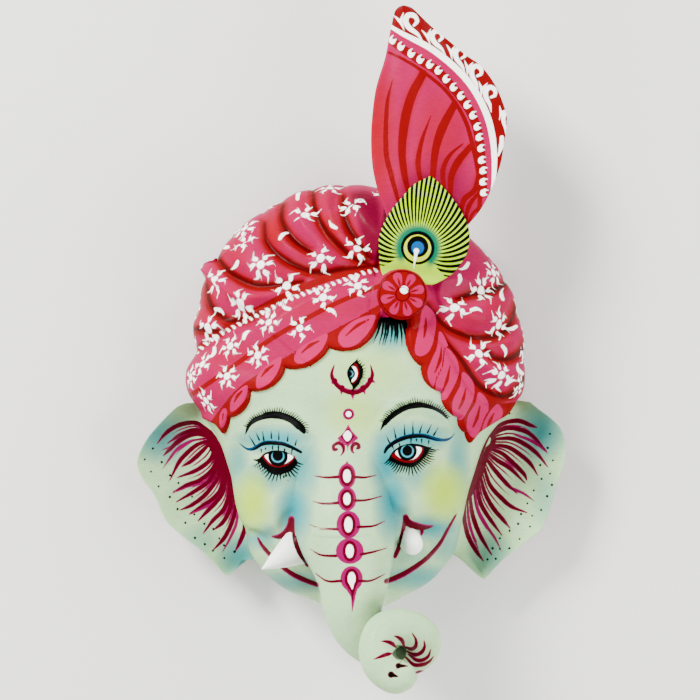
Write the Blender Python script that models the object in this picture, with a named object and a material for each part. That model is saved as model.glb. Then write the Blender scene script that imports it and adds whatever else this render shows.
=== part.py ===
"""A painted papier-mache Ganesha mask: a hollow face with ears, turban and curled trunk, and the pieces fixed on it.

The mask lies on its open back. X runs across the face, Y from the trunk's curl up to the crest, Z out of the face.
The free forms are drawn on the grid of a front view, whose squares are a share of the mask's height. The drawing's
middle is the origin, across runs right and up runs towards the crest.
"""

import math

import bmesh
import bpy
import numpy as np
from mathutils import Vector

MASK_HEIGHT = 0.460
WALL = 0.0048
EAR_THICKNESS = 0.0036
CREST_THICKNESS = 0.0030
FEATHER_THICKNESS = 0.0020
BROOCH_RADIUS = 0.0168
BROOCH_THICKNESS = 0.0052
BROOCH_EDGE_ROUNDING = 0.0020
TUSK_LENGTH = 0.0385
TUSK_RADIUS = 0.0145
BROKEN_TUSK_LENGTH = 0.0175
BROKEN_TUSK_RADIUS = 0.0082
BROKEN_TUSK_TIP_SHARE = 0.5
SEAT_CLEARANCE = 0.0005

HEAD_GRID = (50, 54)
HOLLOW_GRID = (23, 25)
EAR_GRID = (15, 7)
CREST_GRID = (15, 9)
FEATHER_GRID = (11, 7)
TRUNK_HOLLOW_SIDES = 12
TUSK_SIDES = 14
BROOCH_SIDES = 24

SQUARE = MASK_HEIGHT / 667
FRAME_PLACE = (-0.00075, -0.00290)
VIEW_DISTANCE = 4350

HEAD_CENTRE = (2, -50)
RIM_INSET = 0.035
EQUATOR_DEPTH = 44
FACE_DEPTH = 88
DOME_SHARE = 0.84
BELOW_BACK = 10

HEAD_OUTLINE = [
    (2, -256), (33, -254), (58, -244), (80, -231), (95, -215), (105, -200), (110, -180), (116, -150),
    (123, -126), (136, -90), (158, -62), (172, -45), (175, -20), (174, 15), (158, 67), (122, 110),
    (80, 142), (35, 160), (-10, 166), (-60, 155), (-110, 122), (-143, 75), (-158, 20), (-164, -18),
    (-162, -42), (-146, -66), (-131, -90), (-120, -122), (-112, -150), (-106, -172), (-102, -195),
    (-92, -214), (-66, -238), (-27, -252),
]

BAND_TOP = [(29, 82), (-32, 66), (-84, 38), (-141, 3), (-172, -24)]
LEFT_PLEATS = [
    [(-32, 70), (-84, 62), (-104, 66), (-124, 77), (-135, 94), (-138, 112)],
    [(0, 76), (-23, 74), (-40, 78), (-63, 87), (-78, 101), (-86, 120), (-82, 140), (-70, 154)],
    [(-38, 98), (-51, 106), (-63, 120), (-68, 139), (-62, 158)],
    [(18, 82), (-2, 90), (-17, 103), (-29, 120), (-37, 143), (-35, 166)],
    [(27, 90), (14, 101), (1, 116), (-6, 132), (-8, 150), (-2, 166)],
    [(-84, 38), (-106, 34), (-132, 32), (-144, 40), (-152, 52), (-156, 66)],
]
RIGHT_PLEATS = [
    [(74, 52), (96, 26), (123, 14), (146, 17), (158, 32), (168, 45)],
    [(96, 51), (110, 53), (123, 54), (146, 62), (156, 74)],
    [(116, 8), (129, -2), (153, -11), (171, 2), (180, 14)],
    [(74, 56), (86, 29), (105, 4), (118, -21), (133, -41), (148, -52), (172, -50)],
]
LEFT_CUSPS = [(27, 79), (27, 29), (-21, 3), (-65, -17), (-100, -40), (-120, -67), (-125, -83)]
LEFT_BULGES = [0, 15, 9, 9, 7, 1]
LEFT_END = [(-132, -74), (-149, -66), (-165, -59), (-180, -52)]
RIGHT_CUSPS = [(59, 79), (59, 25), (72, -16), (92, -41), (108, -67), (115, -82), (119, -92)]
RIGHT_BULGES = [0, 8, 7, 6, 3, 1]
RIGHT_END = [(127, -82), (136, -76), (154, -65), (168, -55), (185, -50)]

LEFT_EYE = (-72, -106)
RIGHT_EYE = (56, -101)
LEFT_EYE_SIZE = (40, 30)
RIGHT_EYE_SIZE = (38, 30)
LEFT_BROW = [(-104, -84), (-90, -66), (-70, -61), (-52, -68), (-45, -80)]
RIGHT_BROW = [(31, -80), (46, -62), (66, -54), (84, -60), (97, -72)]
BROW_WIDTH = 14
LEFT_CHEEK = (-80, -152)
RIGHT_CHEEK = (72, -148)
CHEEK_SIZE = (46, 50)
FOREHEAD = (0, -30)
FOREHEAD_SIZE = (60, 50)
MOUTH = [
    (-93, -183), (-80, -202), (-60, -220), (-35, -233), (0, -239), (37, -230), (65, -216), (90, -195), (105, -170),
]
LEFT_CHEEK_FOLD = [(-112, -176), (-95, -186), (-78, -186), (-66, -180), (-58, -166)]
RIGHT_CHEEK_FOLD = [(53, -166), (60, -177), (72, -181), (86, -176), (100, -164)]

TRUNK = [
    (0, -50, 74, 42), (-5, -90, 92, 42), (-8, -130, 108, 44), (-8, -155, 118, 47), (-4, -181, 128, 48),
    (1, -208, 138, 42), (3, -232, 144, 34.5), (3, -256, 147, 29), (7, -275, 147, 25.5), (17, -290, 146, 22),
    (36, -301, 146, 19.5), (58, -307, 150, 18), (71, -299, 158, 17.6), (71, -286, 168, 17.5), (53, -277, 178, 17.5),
    (34, -281, 186, 17.5), (27, -298, 192, 17.5), (31, -315, 197, 17.4), (44, -327, 199, 17), (54, -327, 200, 14.5),
    (61, -326, 200, 11), (65, -325.5, 200, 6), (66, -325, 200, 2),
]
TRUNK_HOLLOW_END = 5

LEFT_EAR_ROOT = [(-126, -52), (-111, -90), (-99, -130), (-91, -165), (-87, -195), (-91, -207)]
LEFT_EAR_EDGE = [
    (-164, -53), (-176, -59), (-198, -82), (-209, -98), (-216, -113), (-208, -129), (-197, -143), (-188, -163),
    (-181, -174), (-165, -188), (-148, -201), (-135, -214), (-124, -225), (-116, -221), (-108, -212), (-102, -210),
]
RIGHT_EAR_ROOT = [(150, -48), (130, -90), (118, -130), (108, -165), (100, -195), (98, -203)]
RIGHT_EAR_EDGE = [
    (180, -52), (190, -60), (202, -69), (211, -79), (216, -94), (214, -114), (207, -134), (201, -155),
    (192, -178), (182, -187), (169, -197), (156, -207), (146, -217), (137, -227), (131, -228), (107, -206),
]
EAR_ROOT_DEPTH = 34
EAR_EDGE_DEPTH = 47
EAR_DISH = 13

CREST_LEFT = [
    (53, 76), (42, 112), (36, 136), (29, 155), (23, 180), (21, 206), (22, 232), (26, 262), (35, 292), (40, 318),
    (44, 336), (52, 344.5),
]
CREST_RIGHT = [
    (80, 76), (103, 110), (118, 125), (131, 141), (141, 160), (150, 184), (154, 206), (157, 230), (153, 247),
    (144, 267), (131, 284), (116, 295), (98, 310), (81, 324), (65, 339), (54, 345),
]
CREST_FOOT_DEPTH = 119
CREST_BEND_DEPTH = 127.5
CREST_TIP_DEPTH = 108

FEATHER_LEFT = [
    (44, 62), (34, 72), (30, 84), (29, 98), (29, 112), (33, 125), (42, 141), (53, 154), (63, 165), (79, 173.5),
]
FEATHER_RIGHT = [
    (72, 66), (85, 66), (102, 76), (110, 85), (117, 97), (119.5, 110), (119, 120), (115, 132), (106, 147),
    (96, 160), (87, 169), (81, 174),
]
FEATHER_FOOT_OVER_CREST = 7.5
FEATHER_BEND_OVER_CREST = 9.5
FEATHER_TIP_DROP = 6
FEATHER_DISH = 3

BROOCH_PLACE = (52, 55)
BROOCH_OVER_FEATHER = 6
BROOCH_FACES = (0.05, 0.08, 1)
KNOT_PLACE = (52, 52)
KNOT_SIZE = (34, 36)
KNOT_RISE = 14
BAND_RISE = 6
FOLD_RISE = 9
PLEAT_WIDTH = 17
PLEAT_DEPTH = 10
BAND_CREASE_WIDTH = 14
BAND_CREASE_DEPTH = 6
EYE_RISE = 7
CHEEK_RISE = 10
BROW_RISE = 2.5
FOREHEAD_RISE = 5
MOUTH_DEPTH = 3.4
MOUTH_WIDTH = 10
CHEEK_FOLD_DEPTH = 3.4
CHEEK_FOLD_WIDTH = 13

TUSK_PLACE = (-42, -191, 104)
TUSK_POINTS_TO = (-37, -22, 15)
BROKEN_TUSK_PLACE = (57, -186, 103)
BROKEN_TUSK_POINTS_TO = (6, -9, 15)

PAINTS = {
    "mask": ((0.66, 0.76, 0.66), 0.42),
    "crest": ((0.80, 0.10, 0.22), 0.45),
    "feather": ((0.74, 0.82, 0.08), 0.45),
    "brooch": ((0.62, 0.01, 0.02), 0.42),
    "tusk": ((0.86, 0.86, 0.78), 0.35),
}


def placed(across, up, depth):
    """The place in metres of a point of the drawing. What stands nearer the eye is drawn larger."""
    nearer = 1 - depth / VIEW_DISTANCE
    return np.stack([across * nearer, up * nearer, depth + 0 * across], axis=-1) * SQUARE


def smooth_line(points, steps=6, closed=False):
    """A smooth curve through the drawn points."""
    p = np.array(points, float)
    if closed:
        p = np.vstack([p[-1], p, p[:2]])
    else:
        p = np.vstack([2 * p[0] - p[1], p, 2 * p[-1] - p[-2]])
    t = np.linspace(0, 1, steps, endpoint=False)[:, None]
    spans = []
    for a, b, c, d in zip(p, p[1:], p[2:], p[3:]):
        spans.append(
            0.5 * (2 * b + (c - a) * t + (2 * a - 5 * b + 4 * c - d) * t**2 + (3 * b - a - 3 * c + d) * t**3)
        )
    line = np.vstack(spans)
    return line if closed else np.vstack([line, p[-2]])


def even_points(points, count):
    """So many points at even steps along the smooth curve through the drawn points."""
    line = smooth_line(points, 12)
    run = np.concatenate([[0], np.cumsum(np.linalg.norm(np.diff(line, axis=0), axis=1))])
    steps = np.linspace(0, run[-1], count)
    return np.stack([np.interp(steps, run, line[:, k]) for k in range(line.shape[1])], axis=-1)


def from_line(x, y, line):
    """Each point's distance from a drawn line, and 1 where it lies left of it or -1 where it lies right."""
    best = np.full(np.shape(x), 1e9)
    side = np.ones(np.shape(x))
    for (x0, y0), (x1, y1) in zip(line, line[1:]):
        dx, dy = x1 - x0, y1 - y0
        along = np.clip(((x - x0) * dx + (y - y0) * dy) / (dx * dx + dy * dy), 0, 1)
        gap = np.hypot(x - x0 - along * dx, y - y0 - along * dy)
        nearer = gap < best
        best = np.where(nearer, gap, best)
        side = np.where(nearer, np.sign(dx * (y - y0) - dy * (x - x0)), side)
    return best, side


def inside(x, y, polygon):
    """True for each point that lies inside the drawn polygon."""
    found = np.zeros(np.shape(x), bool)
    for (x0, y0), (x1, y1) in zip(polygon, np.roll(polygon, -1, axis=0)):
        crosses = (y0 > y) != (y1 > y)
        where = x0 + (y - y0) * (x1 - x0) / (y1 - y0 + 1e-12)
        found ^= crosses & (x < where)
    return found


def ramp(value, low, high):
    """0 below low, 1 above high, and a soft step between."""
    t = np.clip((value - low) / (high - low), 0, 1)
    return t * t * (3 - 2 * t)


def bump(x, y, centre, half_size):
    """A soft rounded swelling, 1 at its centre and 0 past half its width and height."""
    q = ((x - centre[0]) / half_size[0]) ** 2 + ((y - centre[1]) / half_size[1]) ** 2
    return np.clip(1 - q, 0, 1) ** 1.5


def groove(x, y, points, width):
    """A crease with round shoulders, 1 on the line and 0 past its width on each side."""
    gap, _ = from_line(x, y, smooth_line(points))
    return 0.5 + 0.5 * np.cos(math.pi * np.clip(gap / width, 0, 1))


def scallops(cusps, bulges):
    """The line through the cusps, with a round petal of its own bulge between each two."""
    line = []
    t = np.linspace(0, 1, 9, endpoint=False)[:, None]
    for a, b, bulge in zip(cusps, cusps[1:], bulges):
        a, b = np.array(a, float), np.array(b, float)
        chord = b - a
        outward = np.array([-chord[1], chord[0]]) / np.linalg.norm(chord)
        if outward[1] > 0:
            outward = -outward
        line.append(a + chord * t + outward * bulge * np.sin(math.pi * t) ** 0.7)
    return np.vstack(line + [np.array(cusps[-1:], float)])


def turban_polygon():
    """The turban as drawn: its scalloped edge from ear to ear, closed round the outside of the head."""
    left = np.vstack([scallops(LEFT_CUSPS, LEFT_BULGES), LEFT_END])
    right = np.vstack([scallops(RIGHT_CUSPS, RIGHT_BULGES), RIGHT_END])
    return np.vstack([left, [(-260, -40), (-260, 260), (260, 260), (260, -40)], right[::-1]])


def turban_rise(x, y):
    """How far the turban's cloth stands out of the bare head, and 1 where there is cloth.

    A low band lies over the brow, with higher folds above it.
    """
    edge = turban_polygon()
    gap, _ = from_line(x, y, np.vstack([edge, edge[:1]]))
    within = np.where(inside(x, y, edge), gap, -gap)
    above_band, side = from_line(x, y, smooth_line(BAND_TOP))
    above_petals, petal_side = from_line(x, y, smooth_line(RIGHT_PLEATS[3]))
    left_folds = ramp(np.where(side < 0, above_band, -above_band), -4, 14)
    right_folds = ramp(np.where(petal_side > 0, above_petals, -above_petals), -4, 20)
    folds = np.where(x > 40, right_folds, left_folds)
    return BAND_RISE + FOLD_RISE * folds, ramp(within, -5, 6)


def turban_relief(x, y, keep):
    """The turban's cloth with its pleats cut in and the round knot that carries the brooch."""
    rise, cloth = turban_rise(x, y)
    cuts = [groove(x, y, line, PLEAT_WIDTH) * PLEAT_DEPTH for line in LEFT_PLEATS + RIGHT_PLEATS]
    cuts += [groove(x, y, BAND_TOP, BAND_CREASE_WIDTH) * BAND_CREASE_DEPTH]
    pleated = np.maximum(rise - np.linalg.norm(cuts, axis=0) * keep, 0.4 * BAND_RISE)
    knot = np.clip(1.6 * bump(x, y, KNOT_PLACE, KNOT_SIZE), 0, 1)
    return (pleated * (1 - knot) + (BAND_RISE + KNOT_RISE) * knot) * cloth


def face_relief(x, y):
    """The swellings and creases of the bare face under the paint."""
    relief = EYE_RISE * bump(x, y, LEFT_EYE, LEFT_EYE_SIZE)
    relief += EYE_RISE * bump(x, y, RIGHT_EYE, RIGHT_EYE_SIZE)
    relief += CHEEK_RISE * (bump(x, y, LEFT_CHEEK, CHEEK_SIZE) + bump(x, y, RIGHT_CHEEK, CHEEK_SIZE))
    relief += BROW_RISE * (groove(x, y, LEFT_BROW, BROW_WIDTH) + groove(x, y, RIGHT_BROW, BROW_WIDTH))
    relief += FOREHEAD_RISE * bump(x, y, FOREHEAD, FOREHEAD_SIZE)
    relief -= MOUTH_DEPTH * groove(x, y, MOUTH, MOUTH_WIDTH)
    relief -= CHEEK_FOLD_DEPTH * groove(x, y, LEFT_CHEEK_FOLD, CHEEK_FOLD_WIDTH)
    relief -= CHEEK_FOLD_DEPTH * groove(x, y, RIGHT_CHEEK_FOLD, CHEEK_FOLD_WIDTH)
    return relief


def sorted_pairs(keys, values):
    """Two lists in the order of the first."""
    order = np.argsort(keys)
    return keys[order], values[order]


def head_points(columns, rows, wall=0.0, below=0.0):
    """A grid of places over the whole head, from a square whose edge becomes the rim at the back.

    With a wall, the grid is the smoother inside, which only half follows the turban and is sunk by the wall along
    the surface's normal. A wall less than nothing stands clear of the outside by as much. Past the widest line, the
    side runs down to the back.
    """
    u, v = np.meshgrid(np.linspace(-1, 1, columns), np.linspace(-1, 1, rows), indexing="ij")
    a, b = u * np.sqrt(1 - v * v / 2), v * np.sqrt(1 - u * u / 2)
    share, angle = np.hypot(a, b), np.arctan2(b, a)
    nearer = 1 - EQUATOR_DEPTH / VIEW_DISTANCE
    outline = smooth_line(HEAD_OUTLINE, 8, closed=True)
    across, up = (outline - HEAD_CENTRE).T * nearer
    rise, cloth = turban_rise(*outline.T)
    bare_radius = np.hypot(across, up) - rise * cloth
    radius = np.interp(angle, *sorted_pairs(np.arctan2(up, across), bare_radius), period=math.tau)
    tilt = np.minimum(share / DOME_SHARE, 1) * math.pi / 2
    side = np.clip((share - DOME_SHARE) / (1 - DOME_SHARE), 0, 1)
    out = radius * np.sin(tilt) * (1 - RIM_INSET * side**2)
    depth = EQUATOR_DEPTH * (1 - side) - below * side + FACE_DEPTH * np.cos(tilt) ** 0.8
    centre = np.array(HEAD_CENTRE) * nearer
    x, y = centre[0] + out * np.cos(angle), centre[1] + out * np.sin(angle)
    normal = np.stack([np.sin(tilt) * np.cos(angle) / radius, np.sin(tilt) * np.sin(angle) / radius,
                       np.cos(tilt) / FACE_DEPTH], axis=-1)
    normal /= np.linalg.norm(normal, axis=-1, keepdims=True)
    places = np.stack([x, y, depth], axis=-1)
    seen = 1 - depth / VIEW_DISTANCE
    turban = turban_relief(x / seen, y / seen, 1 - 0.85 * ramp(share, 0.55 * DOME_SHARE, DOME_SHARE))
    face = face_relief(x / seen, y / seen) * ramp(depth, 30, 60)
    lift = turban / 2 if wall > 0 else turban + face
    places += normal * (lift * ramp(depth, -1, 8))[..., None]
    return places * SQUARE - normal * wall


def object_of(name, bm, paint=None):
    """A named object from a bmesh. One with no paint is a cutter or a helper, which isn't a piece of the mask."""
    bmesh.ops.recalc_face_normals(bm, faces=bm.faces)
    mesh = bpy.data.meshes.new(name)
    bm.to_mesh(mesh)
    bm.free()
    thing = bpy.data.objects.new(name, mesh)
    bpy.context.scene.collection.objects.link(thing)
    thing.parent = bpy.data.objects["mask_frame"]
    if paint is None:
        thing.hide_render = True
        thing.display_type = "WIRE"
    else:
        mesh.materials.append(paint_of(paint))
        mesh.shade_smooth()
        mesh.set_sharp_from_angle(angle=math.radians(50))
    return thing


def paint_of(name):
    """The paint's plain material, made once."""
    paint = bpy.data.materials.get(name)
    if paint is None:
        colour, roughness = PAINTS[name]
        paint = bpy.data.materials.new(name)
        paint.use_nodes = True
        shader = paint.node_tree.nodes["Principled BSDF"]
        shader.inputs["Base Color"].default_value = (*colour, 1)
        shader.inputs["Roughness"].default_value = roughness
        shader.inputs["Metallic"].default_value = 0
    return paint


def grid_faces(bm, places):
    """Fills a grid of places with triangles, whose long edges run out from its middle, and returns its vertices."""
    rows = [[bm.verts.new(p) for p in row] for row in places]
    middle_row, middle_column = len(rows) / 2 - 1, len(rows[0]) / 2 - 1
    for i, (one, two) in enumerate(zip(rows, rows[1:])):
        for j, (a, b, c, d) in enumerate(zip(one, two, two[1:], one[1:])):
            outward = (i - middle_row) * (j - middle_column) > 0
            pair = ((a, b, c), (a, c, d)) if outward else ((a, b, d), (b, c, d))
            for corners in pair:
                bm.faces.new(corners)
    return rows


def head_solid(name, columns, rows, wall=0.0, below=0.0):
    """The head as a closed body with a flat back."""
    bm = bmesh.new()
    grid = grid_faces(bm, head_points(columns, rows, wall, below))
    rim = grid[0] + [row[-1] for row in grid[1:]] + grid[-1][-2::-1] + [row[0] for row in grid[-2:0:-1]]
    bm.faces.new(rim)
    return object_of(name, bm)


def tube_solid(name, points, radius_less=0.0, sides=16, steps=2):
    """A round tube with closed ends along drawn points that each hold across, up, depth and radius."""
    line = smooth_line(points, steps)
    places = placed(line[:, 0], line[:, 1], line[:, 2])
    radii = np.maximum(line[:, 3] * SQUARE - radius_less, 0.4 * SQUARE).tolist()
    bm = bmesh.new()
    rings = []
    across = Vector((1, 0, 0))
    for i, (place, radius) in enumerate(zip(places, radii)):
        run = Vector(places[min(i + 1, len(places) - 1)] - places[max(i - 1, 0)]).normalized()
        across = (across - run * across.dot(run)).normalized()
        upward = run.cross(across)
        turn = [math.tau * k / sides for k in range(sides)]
        rings.append([
            bm.verts.new(Vector(place) + radius * (math.cos(t) * across + math.sin(t) * upward)) for t in turn
        ])
    for one, two in zip(rings, rings[1:]):
        for k in range(sides):
            bm.faces.new((one[k], one[(k + 1) % sides], two[(k + 1) % sides], two[k]))
    bm.faces.new(rings[0])
    bm.faces.new(rings[-1])
    return object_of(name, bm)


def plate_solid(name, left, right, depth, thickness, rows, columns, paint=None):
    """A thin closed plate between two drawn edges. depth gives its middle, by the share up it and across it."""
    a, b = even_points(left, rows), even_points(right, rows)
    up, over = np.meshgrid(np.linspace(0, 1, rows), np.linspace(0, 1, columns), indexing="ij")
    drawn = a[:, None] * (1 - over[..., None]) + b[:, None] * over[..., None]
    middle = placed(drawn[..., 0], drawn[..., 1], depth(up, over))
    rise = np.array([0, 0, thickness / 2])
    bm = bmesh.new()
    edges = []
    for places in (middle + rise, middle - rise):
        grid = grid_faces(bm, places)
        edges.append(grid[0] + [row[-1] for row in grid[1:]] + grid[-1][-2::-1] + [row[0] for row in grid[-2:0:-1]])
    front, back = edges
    for k in range(len(front)):
        n = (k + 1) % len(front)
        bm.faces.new((front[k], front[n], back[n], back[k]))
    return object_of(name, bm, paint)


def ear_depth(up, over):
    """The ear is a shallow dish whose outer edge comes forward."""
    return EAR_ROOT_DEPTH + (EAR_EDGE_DEPTH - EAR_ROOT_DEPTH) * over**2 - EAR_DISH * np.sin(math.pi * over) * 0.8


def crest_depth(up, over):
    """The crest leans back towards its tip and is a little round across, with shallow pleats."""
    lean = CREST_BEND_DEPTH + (CREST_TIP_DEPTH - CREST_BEND_DEPTH) * up
    lean = lean + (CREST_FOOT_DEPTH - CREST_BEND_DEPTH) * (1 - ramp(up, 0, 0.09))
    return lean - 6 * (2 * over - 1) ** 2 * ramp(up, 0.2, 0.5) + 1.2 * np.cos(5 * math.tau * over) * ramp(up, 0, 0.3)


def feather_depth(up, over):
    """The feather is a flat leaf in front of the crest, a little hollow towards its edges."""
    foot = CREST_FOOT_DEPTH + FEATHER_FOOT_OVER_CREST
    bend = CREST_BEND_DEPTH + FEATHER_BEND_OVER_CREST
    lean = bend - FEATHER_TIP_DROP * up + (foot - bend) * (1 - ramp(up, 0.15, 0.4))
    return lean - FEATHER_DISH * (2 * over - 1) ** 2 * np.sin(math.pi * up)


def turned_solid(name, profile, sides, place, towards, paint=None):
    """A round body turned from a profile of radius and height, stood at a place with its axis towards a direction."""
    bm = bmesh.new()
    line = [bm.verts.new((radius, 0, height)) for radius, height in profile]
    edges = [bm.edges.new(pair) for pair in zip(line, line[1:])]
    bmesh.ops.spin(bm, geom=line + edges, axis=(0, 0, 1), cent=(0, 0, 0), angle=math.tau, steps=sides)
    bmesh.ops.remove_doubles(bm, verts=bm.verts, dist=1e-6)
    turn = Vector((0, 0, 1)).rotation_difference(Vector(towards).normalized())
    bmesh.ops.rotate(bm, verts=bm.verts, cent=(0, 0, 0), matrix=turn.to_matrix())
    bmesh.ops.translate(bm, verts=bm.verts, vec=Vector(place))
    return object_of(name, bm, paint)


def tusk(name, place, points_to, length, radius, tip_share):
    """A tusk, pointed where its tip is no share of its foot's radius and otherwise broken off round."""
    swell = 0.35 + 1.5 * tip_share
    profile = [(0, 0)]
    for s in (0, 0.25, 0.5, 0.7, 0.85, 0.94):
        taper = (1 - s**1.6) * swell + (1 - s) * (1 - swell)
        profile.append((radius * (taper * (1 - tip_share) + tip_share), s * length))
    profile.append((0, length))
    spot = placed(*[np.float64(value) for value in place])
    return turned_solid(name, profile, TUSK_SIDES, spot, points_to, "tusk")


def brooch():
    """The round button on the turban's knot, with a low dome and a rounded edge."""
    edge = BROOCH_EDGE_ROUNDING
    profile = [(0, 0), (BROOCH_RADIUS, 0)]
    for k in range(4):
        turn = k / 3 * math.pi / 2
        profile.append((BROOCH_RADIUS - edge * (1 - math.cos(turn)), BROOCH_THICKNESS - edge * (1 - math.sin(turn))))
    profile += [(BROOCH_RADIUS * 0.5, BROOCH_THICKNESS * 1.12), (0, BROOCH_THICKNESS * 1.18)]
    across, up = BROOCH_PLACE
    spot = placed(np.float64(across), up, CREST_FOOT_DEPTH + FEATHER_FOOT_OVER_CREST + BROOCH_OVER_FEATHER)
    return turned_solid("brooch", profile, BROOCH_SIDES, spot, BROOCH_FACES, "brooch")


def combine(base, other, operation):
    change = base.modifiers.new(f"{operation.lower()} {other.name}", "BOOLEAN")
    change.operation = operation
    change.object = other


def clear_scene():
    for thing in list(bpy.data.objects):
        bpy.data.objects.remove(thing)


def mask_frame():
    """The empty that holds every piece and brings the middle of the mask's back to the origin."""
    frame = bpy.data.objects.new("mask_frame", None)
    frame.location = (*FRAME_PLACE, 0)
    bpy.context.scene.collection.objects.link(frame)
    bpy.context.view_layer.update()


def build():
    clear_scene()
    mask_frame()
    mask = head_solid("mask_shell", *HEAD_GRID)
    mask.hide_render = False
    mask.display_type = "TEXTURED"
    mask.data.materials.append(paint_of("mask"))
    forms = [
        plate_solid("ear_left_form", LEFT_EAR_ROOT, LEFT_EAR_EDGE, ear_depth, EAR_THICKNESS, *EAR_GRID),
        plate_solid("ear_right_form", RIGHT_EAR_ROOT, RIGHT_EAR_EDGE, ear_depth, EAR_THICKNESS, *EAR_GRID),
        tube_solid("trunk_form", TRUNK),
    ]
    hollows = [
        head_solid("hollow_form", *HOLLOW_GRID, wall=WALL, below=BELOW_BACK),
        tube_solid("trunk_hollow_form", TRUNK[:TRUNK_HOLLOW_END], radius_less=WALL,
                   sides=TRUNK_HOLLOW_SIDES),
    ]
    for form in forms:
        combine(mask, form, "UNION")
    for form in hollows:
        combine(mask, form, "DIFFERENCE")

    beneath_head = head_solid("beneath_head_form", *HEAD_GRID, wall=-SEAT_CLEARANCE)
    beneath_trunk = tube_solid("beneath_trunk_form", TRUNK, radius_less=-SEAT_CLEARANCE)
    left = tusk("tusk_left", TUSK_PLACE, TUSK_POINTS_TO, TUSK_LENGTH, TUSK_RADIUS, 0)
    right = tusk("tusk_right", BROKEN_TUSK_PLACE, BROKEN_TUSK_POINTS_TO, BROKEN_TUSK_LENGTH, BROKEN_TUSK_RADIUS,
                 BROKEN_TUSK_TIP_SHARE)
    for piece in (left, right):
        combine(piece, beneath_trunk, "DIFFERENCE")
        combine(piece, beneath_head, "DIFFERENCE")
    combine(brooch(), beneath_head, "DIFFERENCE")
    crest = plate_solid("crest", CREST_LEFT, CREST_RIGHT, crest_depth, CREST_THICKNESS, *CREST_GRID, "crest")
    combine(crest, beneath_head, "DIFFERENCE")
    feather = plate_solid("feather", FEATHER_LEFT, FEATHER_RIGHT, feather_depth, FEATHER_THICKNESS, *FEATHER_GRID,
                          "feather")
    combine(feather, beneath_head, "DIFFERENCE")


build()
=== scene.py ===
"""A painted papier-mache mask of an elephant-headed figure, lying on its open back and seen from above."""

import math

import bmesh
import bpy
import mathutils
import numpy as np
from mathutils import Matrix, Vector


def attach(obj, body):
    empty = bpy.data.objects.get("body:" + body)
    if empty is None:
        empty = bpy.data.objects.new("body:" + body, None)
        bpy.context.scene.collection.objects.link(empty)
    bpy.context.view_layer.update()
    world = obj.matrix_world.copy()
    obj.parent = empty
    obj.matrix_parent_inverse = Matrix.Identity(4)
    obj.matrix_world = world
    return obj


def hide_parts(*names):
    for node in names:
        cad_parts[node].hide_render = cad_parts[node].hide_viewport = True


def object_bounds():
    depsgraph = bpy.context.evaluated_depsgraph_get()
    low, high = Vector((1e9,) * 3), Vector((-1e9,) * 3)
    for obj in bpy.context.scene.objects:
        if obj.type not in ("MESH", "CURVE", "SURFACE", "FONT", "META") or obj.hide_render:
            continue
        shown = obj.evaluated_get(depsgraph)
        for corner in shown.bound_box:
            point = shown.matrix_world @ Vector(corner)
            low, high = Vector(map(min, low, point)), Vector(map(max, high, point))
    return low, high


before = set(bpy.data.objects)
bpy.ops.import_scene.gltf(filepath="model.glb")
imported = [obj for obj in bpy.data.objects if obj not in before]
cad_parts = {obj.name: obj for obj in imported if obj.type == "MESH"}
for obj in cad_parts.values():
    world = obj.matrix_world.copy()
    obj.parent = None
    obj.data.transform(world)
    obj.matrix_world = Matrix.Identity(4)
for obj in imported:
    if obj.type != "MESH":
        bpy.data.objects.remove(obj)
solid_low, solid_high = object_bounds()

# The bare face: layers of paper and pulp laid in a mould, trimmed flat at the back and left raw inside.
# Its front is coated in pale mint gloss paint, with the eyes, brows and ornament brushed on.

# The forms are drawn on a front view whose squares are a share of the mask's height, across to the right
# and up towards the crest.
SQUARES_TALL = 665.3
EXTENT_MIDDLE = (1.09, 4.2)
VIEW_DISTANCE = 4350
SQUARE = (solid_high.y - solid_low.y) / SQUARES_TALL
ORIGIN = np.array([
    (solid_low.x + solid_high.x) / 2 - EXTENT_MIDDLE[0] * SQUARE,
    (solid_low.y + solid_high.y) / 2 - EXTENT_MIDDLE[1] * SQUARE,
    0.0,
])
WALL = 0.0048 / SQUARE
HEAD_CENTRE = (2, -50)
RIM_INSET = 0.035
EQUATOR_DEPTH = 44
FACE_DEPTH = 88
DOME_SHARE = 0.84
HEAD_OUTLINE = [
    (2, -256), (33, -254), (58, -244), (80, -231), (95, -215), (105, -200), (110, -180), (116, -150),
    (123, -126), (136, -90), (158, -62), (172, -45), (175, -20), (174, 15), (158, 67), (122, 110),
    (80, 142), (35, 160), (-10, 166), (-60, 155), (-110, 122), (-143, 75), (-158, 20), (-164, -18),
    (-162, -42), (-146, -66), (-131, -90), (-120, -122), (-112, -150), (-106, -172), (-102, -195),
    (-92, -214), (-66, -238), (-27, -252),
]
BAND_TOP = [(29, 82), (-32, 66), (-84, 38), (-141, 3), (-172, -24)]
PETAL_TOP = [(74, 56), (86, 29), (105, 4), (118, -21), (133, -41), (148, -52), (172, -50)]
LEFT_PLEATS = [
    [(-32, 70), (-84, 62), (-104, 66), (-124, 77), (-135, 94), (-138, 112)],
    [(0, 76), (-23, 74), (-40, 78), (-63, 87), (-78, 101), (-86, 120), (-82, 140), (-70, 154)],
    [(-38, 98), (-51, 106), (-63, 120), (-68, 139), (-62, 158)],
    [(18, 82), (-2, 90), (-17, 103), (-29, 120), (-37, 143), (-35, 166)],
    [(27, 90), (14, 101), (1, 116), (-6, 132), (-8, 150), (-2, 166)],
    [(-84, 38), (-106, 34), (-132, 32), (-144, 40), (-152, 52), (-156, 66)],
]
RIGHT_PLEATS = [
    [(74, 52), (96, 26), (123, 14), (146, 17), (158, 32), (168, 45)],
    [(96, 51), (110, 53), (123, 54), (146, 62), (156, 74)],
    [(116, 8), (129, -2), (153, -11), (171, 2), (180, 14)],
    PETAL_TOP,
]
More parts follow.
